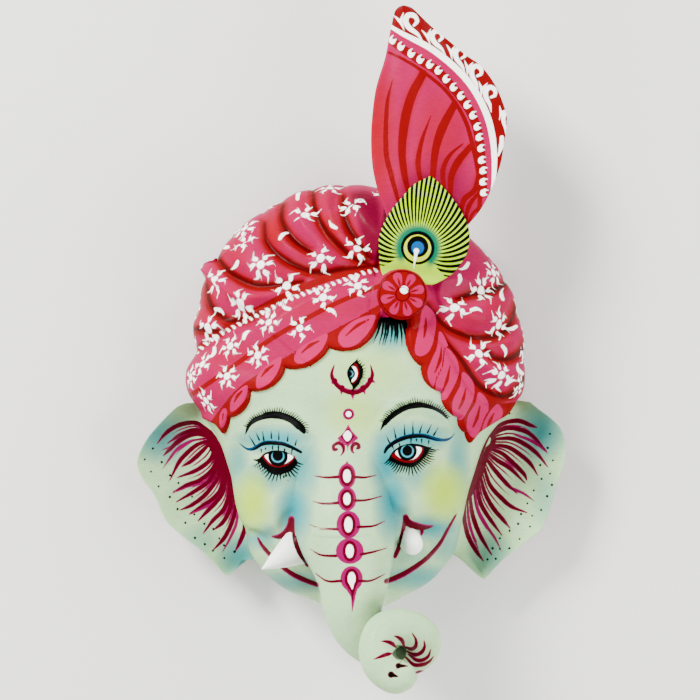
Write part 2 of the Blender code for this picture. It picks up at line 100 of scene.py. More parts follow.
LEFT_CUSPS = [(27, 29), (-21, 3), (-65, -17), (-100, -40), (-120, -67), (-125, -83)]
LEFT_BULGES = [15, 9, 9, 7, 1]
LEFT_END = [(-132, -74), (-149, -66), (-165, -59), (-180, -52)]
HAIR_NOTCH = [(30, 34), (56, 34)]
RIGHT_CUSPS = [(59, 25), (72, -16), (92, -41), (108, -67), (115, -82), (119, -92)]
RIGHT_BULGES = [8, 7, 6, 3, 1]
RIGHT_END = [(127, -82), (136, -76), (154, -65), (168, -55), (185, -50)]
BAND_RISE = 6
FOLD_RISE = 9
KNOT = ((52, 52), (34, 36))
KNOT_RISE = 14
EDGE_FADE = (-5, 6)
RIM_FADE = (-1, 8)
TRUNK = [
    (0, -50, 74, 42), (-5, -90, 92, 42), (-8, -130, 108, 44), (-8, -155, 118, 47), (-4, -181, 128, 48),
    (1, -208, 138, 42), (3, -232, 144, 34.5), (3, -256, 147, 29), (7, -275, 147, 25.5), (17, -290, 146, 22),
    (36, -301, 146, 19.5), (58, -307, 150, 18), (71, -299, 158, 17.6), (71, -286, 168, 17.5),
    (53, -277, 178, 17.5), (34, -281, 186, 17.5), (27, -298, 192, 17.5), (31, -315, 197, 17.4),
    (44, -326, 198.6, 17), (54, -326, 199.7, 14.5), (61, -325, 199.7, 11), (65, -324.5, 199.7, 6),
    (66, -324, 199.7, 2),
]
TRUNK_ROOT_POINTS = 7

EYES = [((-72, -106), (40, 30)), ((56, -101), (38, 30))]
CHEEKS = [((-80, -152), (46, 50)), ((72, -148), (46, 50))]
FOREHEAD = ((0, -30), (60, 50))
EYE_RISE, CHEEK_RISE, BROW_RISE, FOREHEAD_RISE, CREASE_DEPTH = 7, 10, 2.5, 5, 3.4
LEFT_BROW = [(-104, -84), (-90, -66), (-70, -61), (-52, -68), (-45, -80)]
RIGHT_BROW = [(31, -80), (46, -62), (66, -54), (84, -60), (97, -72)]
MOUTH = [
    (-93, -183), (-80, -202), (-60, -220), (-35, -233), (0, -239), (37, -230), (65, -216), (90, -195),
    (105, -170),
]
LEFT_CHEEK_FOLD = [(-112, -176), (-95, -186), (-78, -186), (-66, -180), (-58, -166)]
RIGHT_CHEEK_FOLD = [(53, -166), (60, -177), (72, -181), (86, -176), (100, -164)]


def placed(across, up, depth):
    """The place in metres of a point of the drawing. What stands nearer the eye is drawn larger."""
    nearer = 1 - depth / VIEW_DISTANCE
    return np.stack([across * nearer, up * nearer, depth + 0 * across], axis=-1) * SQUARE + ORIGIN


def drawn(places):
    """Where places in metres are seen on the drawing: across and up."""
    local = (places - ORIGIN) / SQUARE
    nearer = 1 - local[..., 2] / VIEW_DISTANCE
    return local[..., 0] / nearer, local[..., 1] / nearer


def smooth_line(points, steps=6, closed=False):
    """A smooth curve through the drawn points."""
    p = np.array(points, float)
    p = np.vstack([p[-1], p, p[:2]]) if closed else np.vstack([2 * p[0] - p[1], p, 2 * p[-1] - p[-2]])
    t = np.linspace(0, 1, steps, endpoint=False)[:, None]
    spans = [
        0.5 * (2 * b + (c - a) * t + (2 * a - 5 * b + 4 * c - d) * t**2 + (3 * b - a - 3 * c + d) * t**3)
        for a, b, c, d in zip(p, p[1:], p[2:], p[3:])
    ]
    line = np.vstack(spans)
    return line if closed else np.vstack([line, p[-2]])


def even_points(points, count):
    """So many points at even steps along the smooth curve through the drawn points."""
    line = smooth_line(points, 12)
    run = np.concatenate([[0], np.cumsum(np.linalg.norm(np.diff(line, axis=0), axis=1))])
    steps = np.linspace(0, run[-1], count)
    return np.stack([np.interp(steps, run, line[:, k]) for k in range(line.shape[1])], axis=-1)


def ramp(value, low, high):
    """0 below low, 1 above high, and a soft step between."""
    t = np.clip((value - low) / (high - low), 0, 1)
    return t * t * (3 - 2 * t)


def from_line(x, y, line, reach=1e9):
    """Each point's distance from a line, up to a reach, and 1 where it lies left of it or -1 where right."""
    line = np.array(line, float)
    best = np.full(np.shape(x), float(reach))
    side = np.ones(np.shape(x))
    low, high = line.min(0) - reach, line.max(0) + reach
    near = (x > low[0]) & (x < high[0]) & (y > low[1]) & (y < high[1])
    px, py, gap_near, side_near = x[near], y[near], best[near], side[near]
    for (x0, y0), (x1, y1) in zip(line, line[1:]):
        dx, dy = x1 - x0, y1 - y0
        along = np.clip(((px - x0) * dx + (py - y0) * dy) / (dx * dx + dy * dy + 1e-12), 0, 1)
        gap = np.hypot(px - x0 - along * dx, py - y0 - along * dy)
        closer = gap < gap_near
        gap_near = np.where(closer, gap, gap_near)
        side_near = np.where(closer, np.sign(dx * (py - y0) - dy * (px - x0)), side_near)
    best[near], side[near] = gap_near, side_near
    return best, side


def inside(x, y, polygon):
    """True for each point that lies inside the polygon."""
    found = np.zeros(np.shape(x), bool)
    polygon = np.array(polygon, float)
    for (x0, y0), (x1, y1) in zip(polygon, np.roll(polygon, -1, axis=0)):
        crosses = (y0 > y) != (y1 > y)
        found ^= crosses & (x < x0 + (y - y0) * (x1 - x0) / (y1 - y0 + 1e-12))
    return found


def bump(x, y, centre, half_size):
    """A soft rounded swelling, 1 at its centre and 0 past half its width and height."""
    q = ((x - centre[0]) / half_size[0]) ** 2 + ((y - centre[1]) / half_size[1]) ** 2
    return np.clip(1 - q, 0, 1) ** 1.5


def groove(x, y, points, width):
    """A crease with round shoulders, 1 on the line and 0 past its width on each side."""
    gap, _ = from_line(x, y, smooth_line(points), width)
    return 0.5 + 0.5 * np.cos(math.pi * np.clip(gap / width, 0, 1))


def scallops(cusps, bulges):
    """The line through the cusps, with a round petal of its own bulge between each two."""
    line = []
    t = np.linspace(0, 1, 12, endpoint=False)[:, None]
    for a, b, bulge in zip(cusps, cusps[1:], bulges):
        a, b = np.array(a, float), np.array(b, float)
        outward = np.array([a[1] - b[1], b[0] - a[0]]) / np.linalg.norm(b - a)
        if outward[1] > 0:
            outward = -outward
        line.append(a + (b - a) * t + outward * bulge * np.sin(math.pi * t) ** 0.7)
    return np.vstack(line + [np.array(cusps[-1:], float)])


LEFT_EDGE = np.vstack([scallops(LEFT_CUSPS, LEFT_BULGES), LEFT_END])
RIGHT_EDGE = np.vstack([scallops(RIGHT_CUSPS, RIGHT_BULGES), RIGHT_END])
TURBAN_EDGE = np.vstack([LEFT_EDGE[::-1], HAIR_NOTCH, RIGHT_EDGE])
TURBAN_OUTLINE = np.vstack([TURBAN_EDGE, [(260, -40), (260, 260), (-260, 260), (-260, -40)]])


def turban_rise(x, y):
    """How far the turban's cloth stands out of the bare head: a low band at the brow and higher folds."""
    above_band, side = from_line(x, y, smooth_line(BAND_TOP), 60)
    above_petals, petal_side = from_line(x, y, smooth_line(PETAL_TOP), 60)
    left_folds = ramp(np.where(side < 0, above_band, -above_band), -4, 14)
    right_folds = ramp(np.where(petal_side > 0, above_petals, -above_petals), -4, 20)
    return BAND_RISE + FOLD_RISE * np.where(x > 40, right_folds, left_folds)


def within_turban(x, y):
    """How far inside the turban's scalloped edge each point lies, and less than nothing outside it."""
    gap, _ = from_line(x, y, TURBAN_EDGE, 60)
    return np.where(inside(x, y, TURBAN_OUTLINE), gap, -gap)


def head_radii():
    """The bare head's half width in every direction: its outline less the turban's cloth."""
    outline = smooth_line(HEAD_OUTLINE, 16, closed=True)
    nearer = 1 - EQUATOR_DEPTH / VIEW_DISTANCE
    across, up = (outline - HEAD_CENTRE).T * nearer
    cloth = ramp(within_turban(*outline.T), *EDGE_FADE)
    radius = np.hypot(across, up) - turban_rise(*outline.T) * cloth
    angle = np.arctan2(up, across)
    order = np.argsort(angle)
    return angle[order], radius[order]


RADIUS_ANGLES, RADII = head_radii()
CENTRE = np.array(HEAD_CENTRE) * (1 - EQUATOR_DEPTH / VIEW_DISTANCE)


def bare_head(u, v):
    """Places on the bare head, which way its surface faces, and the share of the way out to the rim."""
    a, b = u * np.sqrt(1 - v * v / 2), v * np.sqrt(1 - u * u / 2)
    share, angle = np.hypot(a, b), np.arctan2(b, a)
    radius = np.interp(angle, RADIUS_ANGLES, RADII, period=math.tau)
    tilt = np.minimum(share / DOME_SHARE, 1) * math.pi / 2
    side = np.clip((share - DOME_SHARE) / (1 - DOME_SHARE), 0, 1)
    out = radius * np.sin(tilt) * (1 - RIM_INSET * side**2)
    depth = EQUATOR_DEPTH * (1 - side) + FACE_DEPTH * np.abs(np.cos(tilt)) ** 0.8
    places = np.stack([CENTRE[0] + out * np.cos(angle), CENTRE[1] + out * np.sin(angle), depth], axis=-1)
    normal = np.stack(
        [
            np.sin(tilt) * np.cos(angle) / radius,
            np.sin(tilt) * np.sin(angle) / radius,
            np.cos(tilt) / FACE_DEPTH,
        ],
        axis=-1,
    )
    return places, normal / np.linalg.norm(normal, axis=-1, keepdims=True), share


def head_square(x, y):
    """The square's own coordinates of points of the drawing that lie on the front of the bare head."""
    px, py = np.array(x, float) - CENTRE[0], np.array(y, float) - CENTRE[1]
    for _ in range(3):
        angle = np.arctan2(py, px)
        radius = np.interp(angle, RADIUS_ANGLES, RADII, period=math.tau)
        part = np.clip(np.hypot(px, py) / radius, 0, 1)
        depth = EQUATOR_DEPTH + FACE_DEPTH * np.sqrt(1 - part**2) ** 0.8
        nearer = 1 - depth / VIEW_DISTANCE
        px, py = np.array(x, float) * nearer - CENTRE[0], np.array(y, float) * nearer - CENTRE[1]
    share = DOME_SHARE * np.arcsin(part) * 2 / math.pi
    return squared(share * np.cos(angle), share * np.sin(angle))


def squared(a, b):
    """The square's own coordinates of a point of the round disc."""
    twice = 2 * math.sqrt(2)
    one, two = 2 + a * a - b * b, 2 - a * a + b * b
    u = np.sqrt(np.maximum(one + twice * a, 0)) / 2 - np.sqrt(np.maximum(one - twice * a, 0)) / 2
    v = np.sqrt(np.maximum(two + twice * b, 0)) / 2 - np.sqrt(np.maximum(two - twice * b, 0)) / 2
    return u, v


def face_relief(x, y):
    """The swellings and creases of the face under the paint."""
    relief = EYE_RISE * sum(bump(x, y, *eye) for eye in EYES)
    relief += CHEEK_RISE * sum(bump(x, y, *cheek) for cheek in CHEEKS)
    relief += BROW_RISE * (groove(x, y, LEFT_BROW, 14) + groove(x, y, RIGHT_BROW, 14))
    relief += FOREHEAD_RISE * bump(x, y, *FOREHEAD)
    relief -= CREASE_DEPTH * groove(x, y, MOUTH, 10)
    relief -= CREASE_DEPTH * (groove(x, y, LEFT_CHEEK_FOLD, 13) + groove(x, y, RIGHT_CHEEK_FOLD, 13))
    return relief


def trunk_front(x, y, thinner=0.0):
    """The depth of the trunk's front where it grows out of the face, steeply falling past its sides."""
    root = smooth_line(TRUNK[:TRUNK_ROOT_POINTS], 8)[::-1]
    across, depth, radius = (np.interp(y, root[:, 1], root[:, k]) for k in (0, 2, 3))
    slope = np.gradient(root[:, 2], root[:, 1])
    radius = radius - thinner
    lean = np.sqrt(1 + np.interp(y, root[:, 1], slope) ** 2)
    q = np.abs(x - across) / radius
    front = depth + radius * lean * np.sqrt(np.clip(1 - q * q, 0, 1)) - 1.9 * radius * np.clip(q - 1, 0, None)
    return front - 60 * ramp(y, -66, -40) - 70 * ramp(-y, 182, 216)


def trunk_pocket(x, y):
    """The depth of the hollow behind the trunk's root, a wall's thickness in from its front."""
    return trunk_front(x, y, WALL) - 60 * ramp(-y, 140, 190)


def head_surface(u, v):
    """The bare head with its face modelled on it, in squares, and which way it faces."""
    places, normal, share = bare_head(u, v)
    nearer = 1 - places[..., 2] / VIEW_DISTANCE
    x, y = places[..., 0] / nearer, places[..., 1] / nearer
    relief = face_relief(x, y) * ramp(places[..., 2], 30, 60)
    return places + normal * relief[..., None], normal, share, x, y


def soft_top(one, two, softness):
    """The higher of two depths, with a fillet where they meet."""
    fillet = softness * (1 - ramp(np.abs(two - one), softness, 4 * softness))
    return (one + two + np.sqrt((one - two) ** 2 + fillet**2)) / 2


LEFT_SEAM_END, RIGHT_SEAM_END = math.radians(-175.5), math.radians(-4.2)
SEAM_SAMPLES, SEAM_REACH, SEAM_SOFTNESS = 401, 8, 6
LAP_ABOVE, LAP_BELOW = 0.03, 0.028


def seam_lines():
    """Where the turban's edge crosses the square, and lines that keep a little above and below it."""
    x, y = np.array(TURBAN_EDGE).T
    u, v = head_square(x, y)
    ends = [(LEFT_SEAM_END, 1.0), (LEFT_SEAM_END, DOME_SHARE)]
    left_u, left_v = squared(*np.array([(s * math.cos(t), s * math.sin(t)) for t, s in ends]).T)
    ends = [(RIGHT_SEAM_END, DOME_SHARE), (RIGHT_SEAM_END, 1.0)]
    right_u, right_v = squared(*np.array([(s * math.cos(t), s * math.sin(t)) for t, s in ends]).T)
    keep = (u > left_u[-1] + 0.01) & (u < right_u[0] - 0.01)
    u = np.concatenate([left_u, u[keep], right_u])
    v = np.concatenate([left_v, v[keep], right_v])
    order = np.argsort(u)
    columns = np.linspace(-1, 1, SEAM_SAMPLES)
    middle = np.interp(columns, u[order], v[order])
    padded = np.pad(middle, SEAM_REACH, mode="edge")
    spread = np.stack([padded[k : k + len(columns)] for k in range(2 * SEAM_REACH + 1)])
    soft = np.hanning(2 * SEAM_SOFTNESS + 1)
    soft /= soft.sum()
    lines = []
    for line in (spread.max(0) + LAP_ABOVE, spread.mean(0), spread.min(0) - LAP_BELOW):
        lines.append(np.convolve(np.pad(line, SEAM_SOFTNESS, mode="edge"), soft, mode="valid"))
    return columns, *lines


SEAM_COLUMNS, SEAM_ABOVE, SEAM_MIDDLE, SEAM_BELOW = seam_lines()


def quads(grid):
    """The four-sided faces of a grid of point numbers."""
    return np.stack([grid[:-1, :-1], grid[1:, :-1], grid[1:, 1:], grid[:-1, 1:]], -1).reshape(-1, 4)


def round_edge(grid):
    """The point numbers round a grid's edge, back to the first."""
    edge = [grid[:, 0], grid[-1, 1:], grid[-2::-1, -1], grid[0, -2:0:-1], grid[0, :1]]
    return np.concatenate(edge).tolist()


def skin_of_grids(name, front, back, coats, paint, inner_paint):
    """A closed piece from a fine painted front and a coarser bare back, joined round their edges."""
    n, m = front.shape[:2]
    p, q = back.shape[:2]
    along, across = [(n - 1) // (p - 1)] * (p - 1), [(m - 1) // (q - 1)] * (q - 1)
    fore = np.arange(n * m).reshape(n, m)
    rear = np.arange(p * q).reshape(p, q) + n * m
    outer, inner = round_edge(fore), round_edge(rear)
    rim, at = [], 0
    for k, step in enumerate(2 * (along + across)):
        rim.append(outer[at : at + step + 1] + [inner[k + 1], inner[k]])
        at += step
    front_faces, back_faces = quads(fore).tolist(), quads(rear)[:, ::-1].tolist()
    places = np.vstack([front.reshape(-1, 3), back.reshape(-1, 3)])
    inner_from = len(front_faces) + len(rim)
    return painted_piece(name, places, front_faces + rim + back_faces, coats, paint, inner_paint, inner_from)


PAINT_COATS = {}
BARE = -9.0


def bare_coats(count, paint):
    """Every coat of a paint before it is laid on: a stroke is far off, and a wash is nothing."""
    return {coat: np.full(count, 0.0 if kind == "wash" else BARE) for coat, kind, _ in PAINT_COATS[paint]}


def painted_piece(name, places, faces, coats, paint, inner_paint=None, inner_from=None):
    """An object whose paint is laid on by how far each point lies inside each stroke, in squares."""
    mesh = bpy.data.meshes.new(name)
    mesh.from_pydata(places.tolist(), [], faces)
    if inner_paint is not None:
        bare = (np.arange(len(faces)) >= inner_from).astype(np.int32)
        mesh.polygons.foreach_set("material_index", bare)
    form = bmesh.new()
    form.from_mesh(mesh)
    bmesh.ops.recalc_face_normals(form, faces=form.faces)
    form.to_mesh(mesh)
    form.free()
    for coat, layer in bare_coats(len(places), paint).items():
        layer[: len(coats[coat])] = coats[coat]
        values = layer.astype(np.float32)
        mesh.attributes.new(coat, "FLOAT", "POINT").data.foreach_set("value", values)
    mesh.shade_smooth()
    mesh.set_sharp_from_angle(angle=math.radians(60))
    thing = bpy.data.objects.new(name, mesh)
    bpy.context.scene.collection.objects.link(thing)
    mesh.materials.append(bpy.data.materials[paint])
    if inner_paint is not None:
        mesh.materials.append(bpy.data.materials[inner_paint])
    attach(thing, "root")
    return thing


def brush(layer, x, y, line, widths, smooth=True):
    """Adds a brush stroke to a layer of paint, along a line, with its half widths from start to end."""
    line = smooth_line(line, 5) if smooth and len(line) > 2 else np.array(line, float)
    places = np.linspace(0, 1, len(line))
    half = np.interp(places, np.linspace(0, 1, len(widths)), widths)
    reach = half.max() + 2.5
    low, high = line.min(0) - reach, line.max(0) + reach
    near = np.flatnonzero((x > low[0]) & (x < high[0]) & (y > low[1]) & (y < high[1]))
    if len(near) == 0:
        return
    px, py, best = x[near], y[near], layer[near]
    for (x0, y0), (x1, y1), w0, w1 in zip(line, line[1:], half, half[1:]):
        dx, dy = x1 - x0, y1 - y0
        along = np.clip(((px - x0) * dx + (py - y0) * dy) / (dx * dx + dy * dy + 1e-12), 0, 1)
        gap = np.hypot(px - x0 - along * dx, py - y0 - along * dy)
        best = np.maximum(best, w0 + (w1 - w0) * along - gap)
    layer[near] = best


def fill(layer, x, y, outline, smooth=True):
    """Adds a filled shape to a layer of paint."""
    outline = smooth_line(outline, 5, closed=True) if smooth else np.array(outline, float)
    low, high = outline.min(0) - 3, outline.max(0) + 3
    near = np.flatnonzero((x > low[0]) & (x < high[0]) & (y > low[1]) & (y < high[1]))
    if len(near) == 0:
        return
    px, py = x[near], y[near]
    gap, _ = from_line(px, py, np.vstack([outline, outline[:1]]))
    layer[near] = np.maximum(layer[near], np.where(inside(px, py, outline), gap, -gap))


def dab(layer, x, y, centre, radius, tall=1.0):
    """Adds a round or oval dab to a layer of paint."""
    reach = radius * max(tall, 1) + 3
    near = np.flatnonzero((abs(x - centre[0]) < reach) & (abs(y - centre[1]) < reach))
    gap = radius - np.hypot(x[near] - centre[0], (y[near] - centre[1]) / tall)
    layer[near] = np.maximum(layer[near], gap * min(tall, 1))


def ring(layer, x, y, centre, radius, width, start=0.0, end=360.0):
    """Adds a ring, or a part of one between two directions in degrees, to a layer of paint."""
    turn = np.radians(np.linspace(start, end, 40))
    line = np.stack([centre[0] + radius * np.cos(turn), centre[1] + radius * np.sin(turn)], axis=-1)
    half = width / 2
    widths = [half] * 3 if end - start > 355 else [0.15, half, half, half, 0.15]
    brush(layer, x, y, line, widths, smooth=False)


def lashes(layer, x, y, line, lengths, lean, count, width=0.75, outward=1.0):
    """Adds a row of short hairs that stand on a line and lean over along it."""
    points = even_points(line, count)
    run = np.gradient(points, axis=0)
    run /= np.linalg.norm(run, axis=1, keepdims=True)
    away = np.stack([-run[:, 1], run[:, 0]], axis=-1) * outward
    length = np.interp(np.linspace(0, 1, count), np.linspace(0, 1, len(lengths)), lengths)
    leans = np.interp(np.linspace(0, 1, count), np.linspace(0, 1, len(lean)), lean)
    for k, (point, side, along) in enumerate(zip(points, away, run)):
        reach = length[k] * (1 + 0.18 * math.sin(k * 5.3))
        middle = point + side * reach * 0.55 + along * leans[k] * reach * 0.2
        tip = point + side * reach + along * leans[k] * reach * 0.6
        brush(layer, x, y, [point, middle, tip], [width, width * 0.8, 0.25], smooth=False)


def linear(hex_colour):
    """A colour's red, green and blue as light, from its sRGB code."""
    parts = [int(hex_colour[k : k + 2], 16) / 255 for k in (1, 3, 5)]
    return (*[c / 12.92 if c <= 0.04045 else ((c + 0.055) / 1.055) ** 2.4 for c in parts], 1)


def add_node(tree, kind, settings, inputs):
    """One node with its settings, whose inputs are set to a value or linked from another node's output."""
    node = tree.nodes.new(kind)
    for name, value in settings.items():
        setattr(node, name, value)
    for name, value in inputs.items():
        if isinstance(value, bpy.types.NodeSocket):
            tree.links.new(value, node.inputs[name])
        else:
            node.inputs[name].default_value = value
    return node


# How far apart the paint's clouds, the hand's waver, the paper's lumps and the brush's streaks are, in
# millimetres. The streaks are given along x, y and z: the brush went across the mask. The pulp's are
# scraps of paper and fibres.
CLOUD_MM, WAVER_MM, LUMP_MM, STREAK_MM = 26.3, 2.38, 7.69, (3.85, 1.11, 3.85)
SCRAP_MM, FIBRE_MM = 22.2, 3.85


def per_metre(millimetres):
    """A pattern's scale from how far apart its marks are."""
    return 1000 / millimetres


def gloss_paint(name, ground, coats, roughness, bump_depth):
    """Gloss enamel brushed by hand on uneven paper: a ground coat, then coats from the first to the last.

    Each coat has its name, its kind and its colour. A wash is sprayed thin and has no edge, and a stroke has
    one. Every coat is a little thinner or thicker from place to place, and the edges waver.
    """
    paint = bpy.data.materials.new(name)
    paint.use_nodes = True
    tree = paint.node_tree
    tree.nodes.clear()
    place = add_node(tree, "ShaderNodeTexCoord", {}, {}).outputs["Object"]
    clouds = add_node(
        tree, "ShaderNodeTexNoise", {}, {"Vector": place, "Scale": per_metre(CLOUD_MM), "Detail": 4.0}
    )
    streak_scale = [per_metre(apart) for apart in STREAK_MM]
    stretched = add_node(tree, "ShaderNodeMapping", {}, {"Vector": place, "Scale": streak_scale})
    streaks = add_node(
        tree, "ShaderNodeTexNoise", {}, {"Vector": stretched.outputs[0], "Scale": 1.0, "Detail": 3.0}
    )
    waver = add_node(
        tree, "ShaderNodeTexNoise", {}, {"Vector": place, "Scale": per_metre(WAVER_MM), "Detail": 2.0}
    )
    wave = add_node(tree, "ShaderNodeMapRange", {}, {"Value": waver.outputs[0], 3: -0.3, 4: 0.3})
    mixed = add_node(
        tree, "ShaderNodeMath", {"operation": "ADD"}, {0: clouds.outputs[0], 1: streaks.outputs[0]}
    )
    thickness = add_node(tree, "ShaderNodeMapRange", {}, {"Value": mixed.outputs[0], 1: 0.7, 2: 1.3})
    PAINT_COATS[name] = coats
    tone = linear(ground)
    thin = (*[min(c * 1.07, 1) for c in tone[:3]], 1)
    thick = (*[c * 0.9 for c in tone[:3]], 1)
    below = add_node(
        tree, "ShaderNodeMix", {"data_type": "RGBA"}, {0: thickness.outputs[0], 6: thick, 7: thin}
    ).outputs[2]
    for coat, kind, colour in coats:
        value = add_node(tree, "ShaderNodeAttribute", {"attribute_name": coat}, {}).outputs["Fac"]
        if kind == "edge":
            value = add_node(tree, "ShaderNodeMath", {"operation": "ADD"}, {0: value, 1: wave.outputs[0]})
            value = add_node(
                tree, "ShaderNodeMapRange", {"interpolation_type": "SMOOTHSTEP"},
                {"Value": value.outputs[0], 1: -0.4, 2: 0.4},
            ).outputs[0]
        tone = linear(colour)
        light = (*[min(c * 1.12 + 0.0004, 1) for c in tone[:3]], 1)
        shade = add_node(
            tree, "ShaderNodeMix", {"data_type": "RGBA"}, {0: thickness.outputs[0], 6: tone, 7: light}
        )
        below = add_node(
            tree, "ShaderNodeMix", {"data_type": "RGBA"}, {0: value, 6: below, 7: shade.outputs[2]}
        ).outputs[2]
    lumps = add_node(
        tree, "ShaderNodeTexNoise", {}, {"Vector": place, "Scale": per_metre(LUMP_MM), "Detail": 2.0}
    )
    height = add_node(
        tree, "ShaderNodeMath", {"operation": "MULTIPLY_ADD"},
        {0: streaks.outputs[0], 1: 0.12, 2: lumps.outputs[0]},
    )
    uneven = add_node(
        tree, "ShaderNodeBump", {}, {"Height": height.outputs[0], "Distance": bump_depth, "Strength": 0.8}
    )
    gloss = add_node(
        tree, "ShaderNodeMapRange", {},
        {"Value": clouds.outputs[0], 1: 0.3, 2: 0.7, 3: roughness - 0.05, 4: roughness + 0.09},
    )
    shader = add_node(
        tree, "ShaderNodeBsdfPrincipled", {},
        {"Base Color": below, "Roughness": gloss.outputs[0], "Normal": uneven.outputs[0], "Coat Weight": 0.02,
         "Coat Roughness": 0.12, "Specular IOR Level": 0.03},
    )
    add_node(tree, "ShaderNodeOutputMaterial", {}, {"Surface": shader.outputs[0]})
    return paint


def raw_pulp():
    """Unpainted paper pulp, grey-buff and dull, with scraps of paper that show in its tone."""
    pulp = bpy.data.materials.new("raw paper pulp")
    pulp.use_nodes = True
    tree = pulp.node_tree
    tree.nodes.clear()
    place = add_node(tree, "ShaderNodeTexCoord", {}, {}).outputs["Object"]
    scraps = add_node(
        tree, "ShaderNodeTexVoronoi", {"feature": "F1"}, {"Vector": place, "Scale": per_metre(SCRAP_MM)}
    )
    fibre = add_node(
        tree, "ShaderNodeTexNoise", {}, {"Vector": place, "Scale": per_metre(FIBRE_MM), "Detail": 6.0}
    )
    tone = add_node(
        tree, "ShaderNodeMix", {"data_type": "RGBA"},
        {0: scraps.outputs["Color"], 6: linear("#B9AD94"), 7: linear("#A3977F")},
    )
    spotted = add_node(
        tree, "ShaderNodeMix", {"data_type": "RGBA"},
        {0: fibre.outputs[0], 6: linear("#8D826C"), 7: tone.outputs[2]},
    )
    rough = add_node(
        tree, "ShaderNodeBump", {}, {"Height": fibre.outputs[0], "Distance": 0.0012, "Strength": 0.7}
    )
    shader = add_node(
        tree, "ShaderNodeBsdfPrincipled", {},
        {"Base Color": spotted.outputs[2], "Roughness": 0.92, "Normal": rough.outputs[0]},
    )
    add_node(tree, "ShaderNodeOutputMaterial", {}, {"Surface": shader.outputs[0]})


# The grey-green wash is painted shade: in the hollow of the trunk's curl, and the curl's shadow on the trunk.
SKIN_COATS = [
    ("wash_blue", "wash", "#1F797F"), ("wash_green", "wash", "#9AB72D"), ("wash_grey_shade", "wash", "#303A2C"),
    ("magenta", "edge", "#740042"), ("maroon", "edge", "#490010"), ("lid_blue", "edge", "#002A45"),
    ("black", "edge", "#010101"), ("eye_red", "edge", "#540005"), ("white", "edge", "#FFFFF0"),
    ("iris", "edge", "#010101"), ("iris_ring", "edge", "#2C818E"),
]
gloss_paint("gloss skin paint", "#9CBE8C", SKIN_COATS, 0.3, 0.0006)
raw_pulp()

BLUE_SHADES = [
    # the middle and half size of each patch, then how strong it is
    ((-76, -90), (46, 17), 1.0), ((64, -87), (46, 18), 1.0), ((-50, -118), (24, 42), 0.85),
    ((36, -112), (20, 44), 1.0), ((-56, -160), (22, 40), 1.0), ((42, -152), (22, 48), 1.0),
    ((-88, -128), (36, 20), 0.75), ((-92, -186), (24, 16), 0.8), ((84, -178), (34, 16), 0.9),
    ((-60, -232), (54, 14), 0.7), ((72, -228), (56, 16), 0.8), ((-112, -112), (14, 26), 0.7),
    ((108, -108), (14, 44), 0.75), ((98, -196), (20, 24), 0.6), ((66, -128), (30, 18), 0.6),
    ((96, -60), (26, 22), 0.3), ((-60, -196), (20, 18), 0.5), ((60, -206), (26, 14), 0.4),
]
GREEN_SHADES = [
    ((-98, -152), (22, 36), 1.0), ((94, -142), (28, 34), 1.0), ((4, -62), (34, 34), 0.55),
    ((16, -22), (52, 32), 0.4),
]
LEFT_BROW_UNDER = [
    (-105.7, -89.1), (-104.4, -83.6), (-98.5, -74.5), (-88, -69.1), (-77.1, -67.7), (-67.1, -69.1),
    (-58.9, -73.2), (-52.5, -79.1), (-46.2, -84.1),
]
LEFT_BROW_OVER = [
    (-105.7, -89.1), (-103.5, -76.4), (-98, -69.1), (-88, -64.1), (-81.6, -61.6), (-70.7, -61.6),
    (-58.9, -65.5), (-50.7, -70.9), (-45.3, -76.4), (-44.4, -81.8),
]
RIGHT_BROW_UNDER = [
    (30.2, -80.9), (35.6, -75), (41.1, -69.5), (47.5, -64.5), (56.5, -59.5), (65.6, -57.5), (74.7, -57.3),
    (83.8, -59.5), (91.1, -63.6), (96.5, -68.2), (100.2, -72.7),
]
RIGHT_BROW_OVER = [
    (30.2, -80), (32.9, -71.8), (40.2, -63.8), (49.3, -57.5), (58.4, -53.6), (67.5, -52), (76.5, -53.4),
    (85.6, -57), (92.9, -61.5), (97.5, -67.3), (100.2, -72.7),
]
LEFT_LID = [
    (-111.2, -92.7), (-104.4, -98.2), (-98.9, -99.3), (-94.4, -97.7), (-88, -93.8), (-81.6, -92.5),
    (-74.4, -92.7), (-67.1, -93.6), (-61.6, -95.6), (-55.3, -98.4), (-48.9, -101.8),
]
RIGHT_LID = [
    (34.7, -101.8), (37, -97.7), (42, -93.6), (49.3, -89.5), (58.4, -86.5), (67.5, -85.5), (74.7, -86),
    (81.1, -87.8), (87.5, -89.5), (94.7, -90), (100.2, -88.2), (104.7, -83.6),
]
LONG_LASHES = [
    ((-95.3, -95), (-101.2, -85.5)), ((-90.7, -90), (-94.5, -81.6)), ((-86.2, -90), (-87.5, -80.9)),
    ((-78.5, -88.2), (-78.9, -80.9)), ((-71.2, -89.5), (-71.2, -80.9)), ((-62.5, -90.9), (-61.8, -83.6)),
    ((-54.8, -95), (-53.3, -89.5)), ((39.3, -92.3), (36.1, -85)), ((45.8, -87.7), (43.8, -77.7)),
    ((54.7, -84.5), (54.3, -74.1)), ((62.9, -83.6), (62.9, -70.9)), ((69.7, -82.3), (72.5, -73.6)),
    ((77.5, -82.7), (81.5, -74.5)), ((83.8, -85), (88.4, -77.3)),
]
SHORT_LASHES = [
    ((-88.9, -99.5), (-88.5, -102.7)), ((-84.4, -98.2), (-84.5, -100)), ((-77.5, -96.4), (-77.5, -99.3)),
    ((-71.6, -96.4), (-71.6, -100.2)), ((-65.3, -99.1), (-65.3, -100.9)), ((-58, -100), (-58.5, -104.1)),
    ((61.1, -88.9), (60.9, -92.5)), ((66.5, -89.4), (66.5, -91.8)), ((71.8, -89.4), (71.6, -93.2)),
    ((78.8, -90.9), (78.5, -94.5)), ((49.3, -93.6), (49.7, -95.9)), ((42.5, -96.4), (43.8, -99.5)),
]
IRISES = [((-72, -106.4), 10), ((57.3, -101), 9.7)]
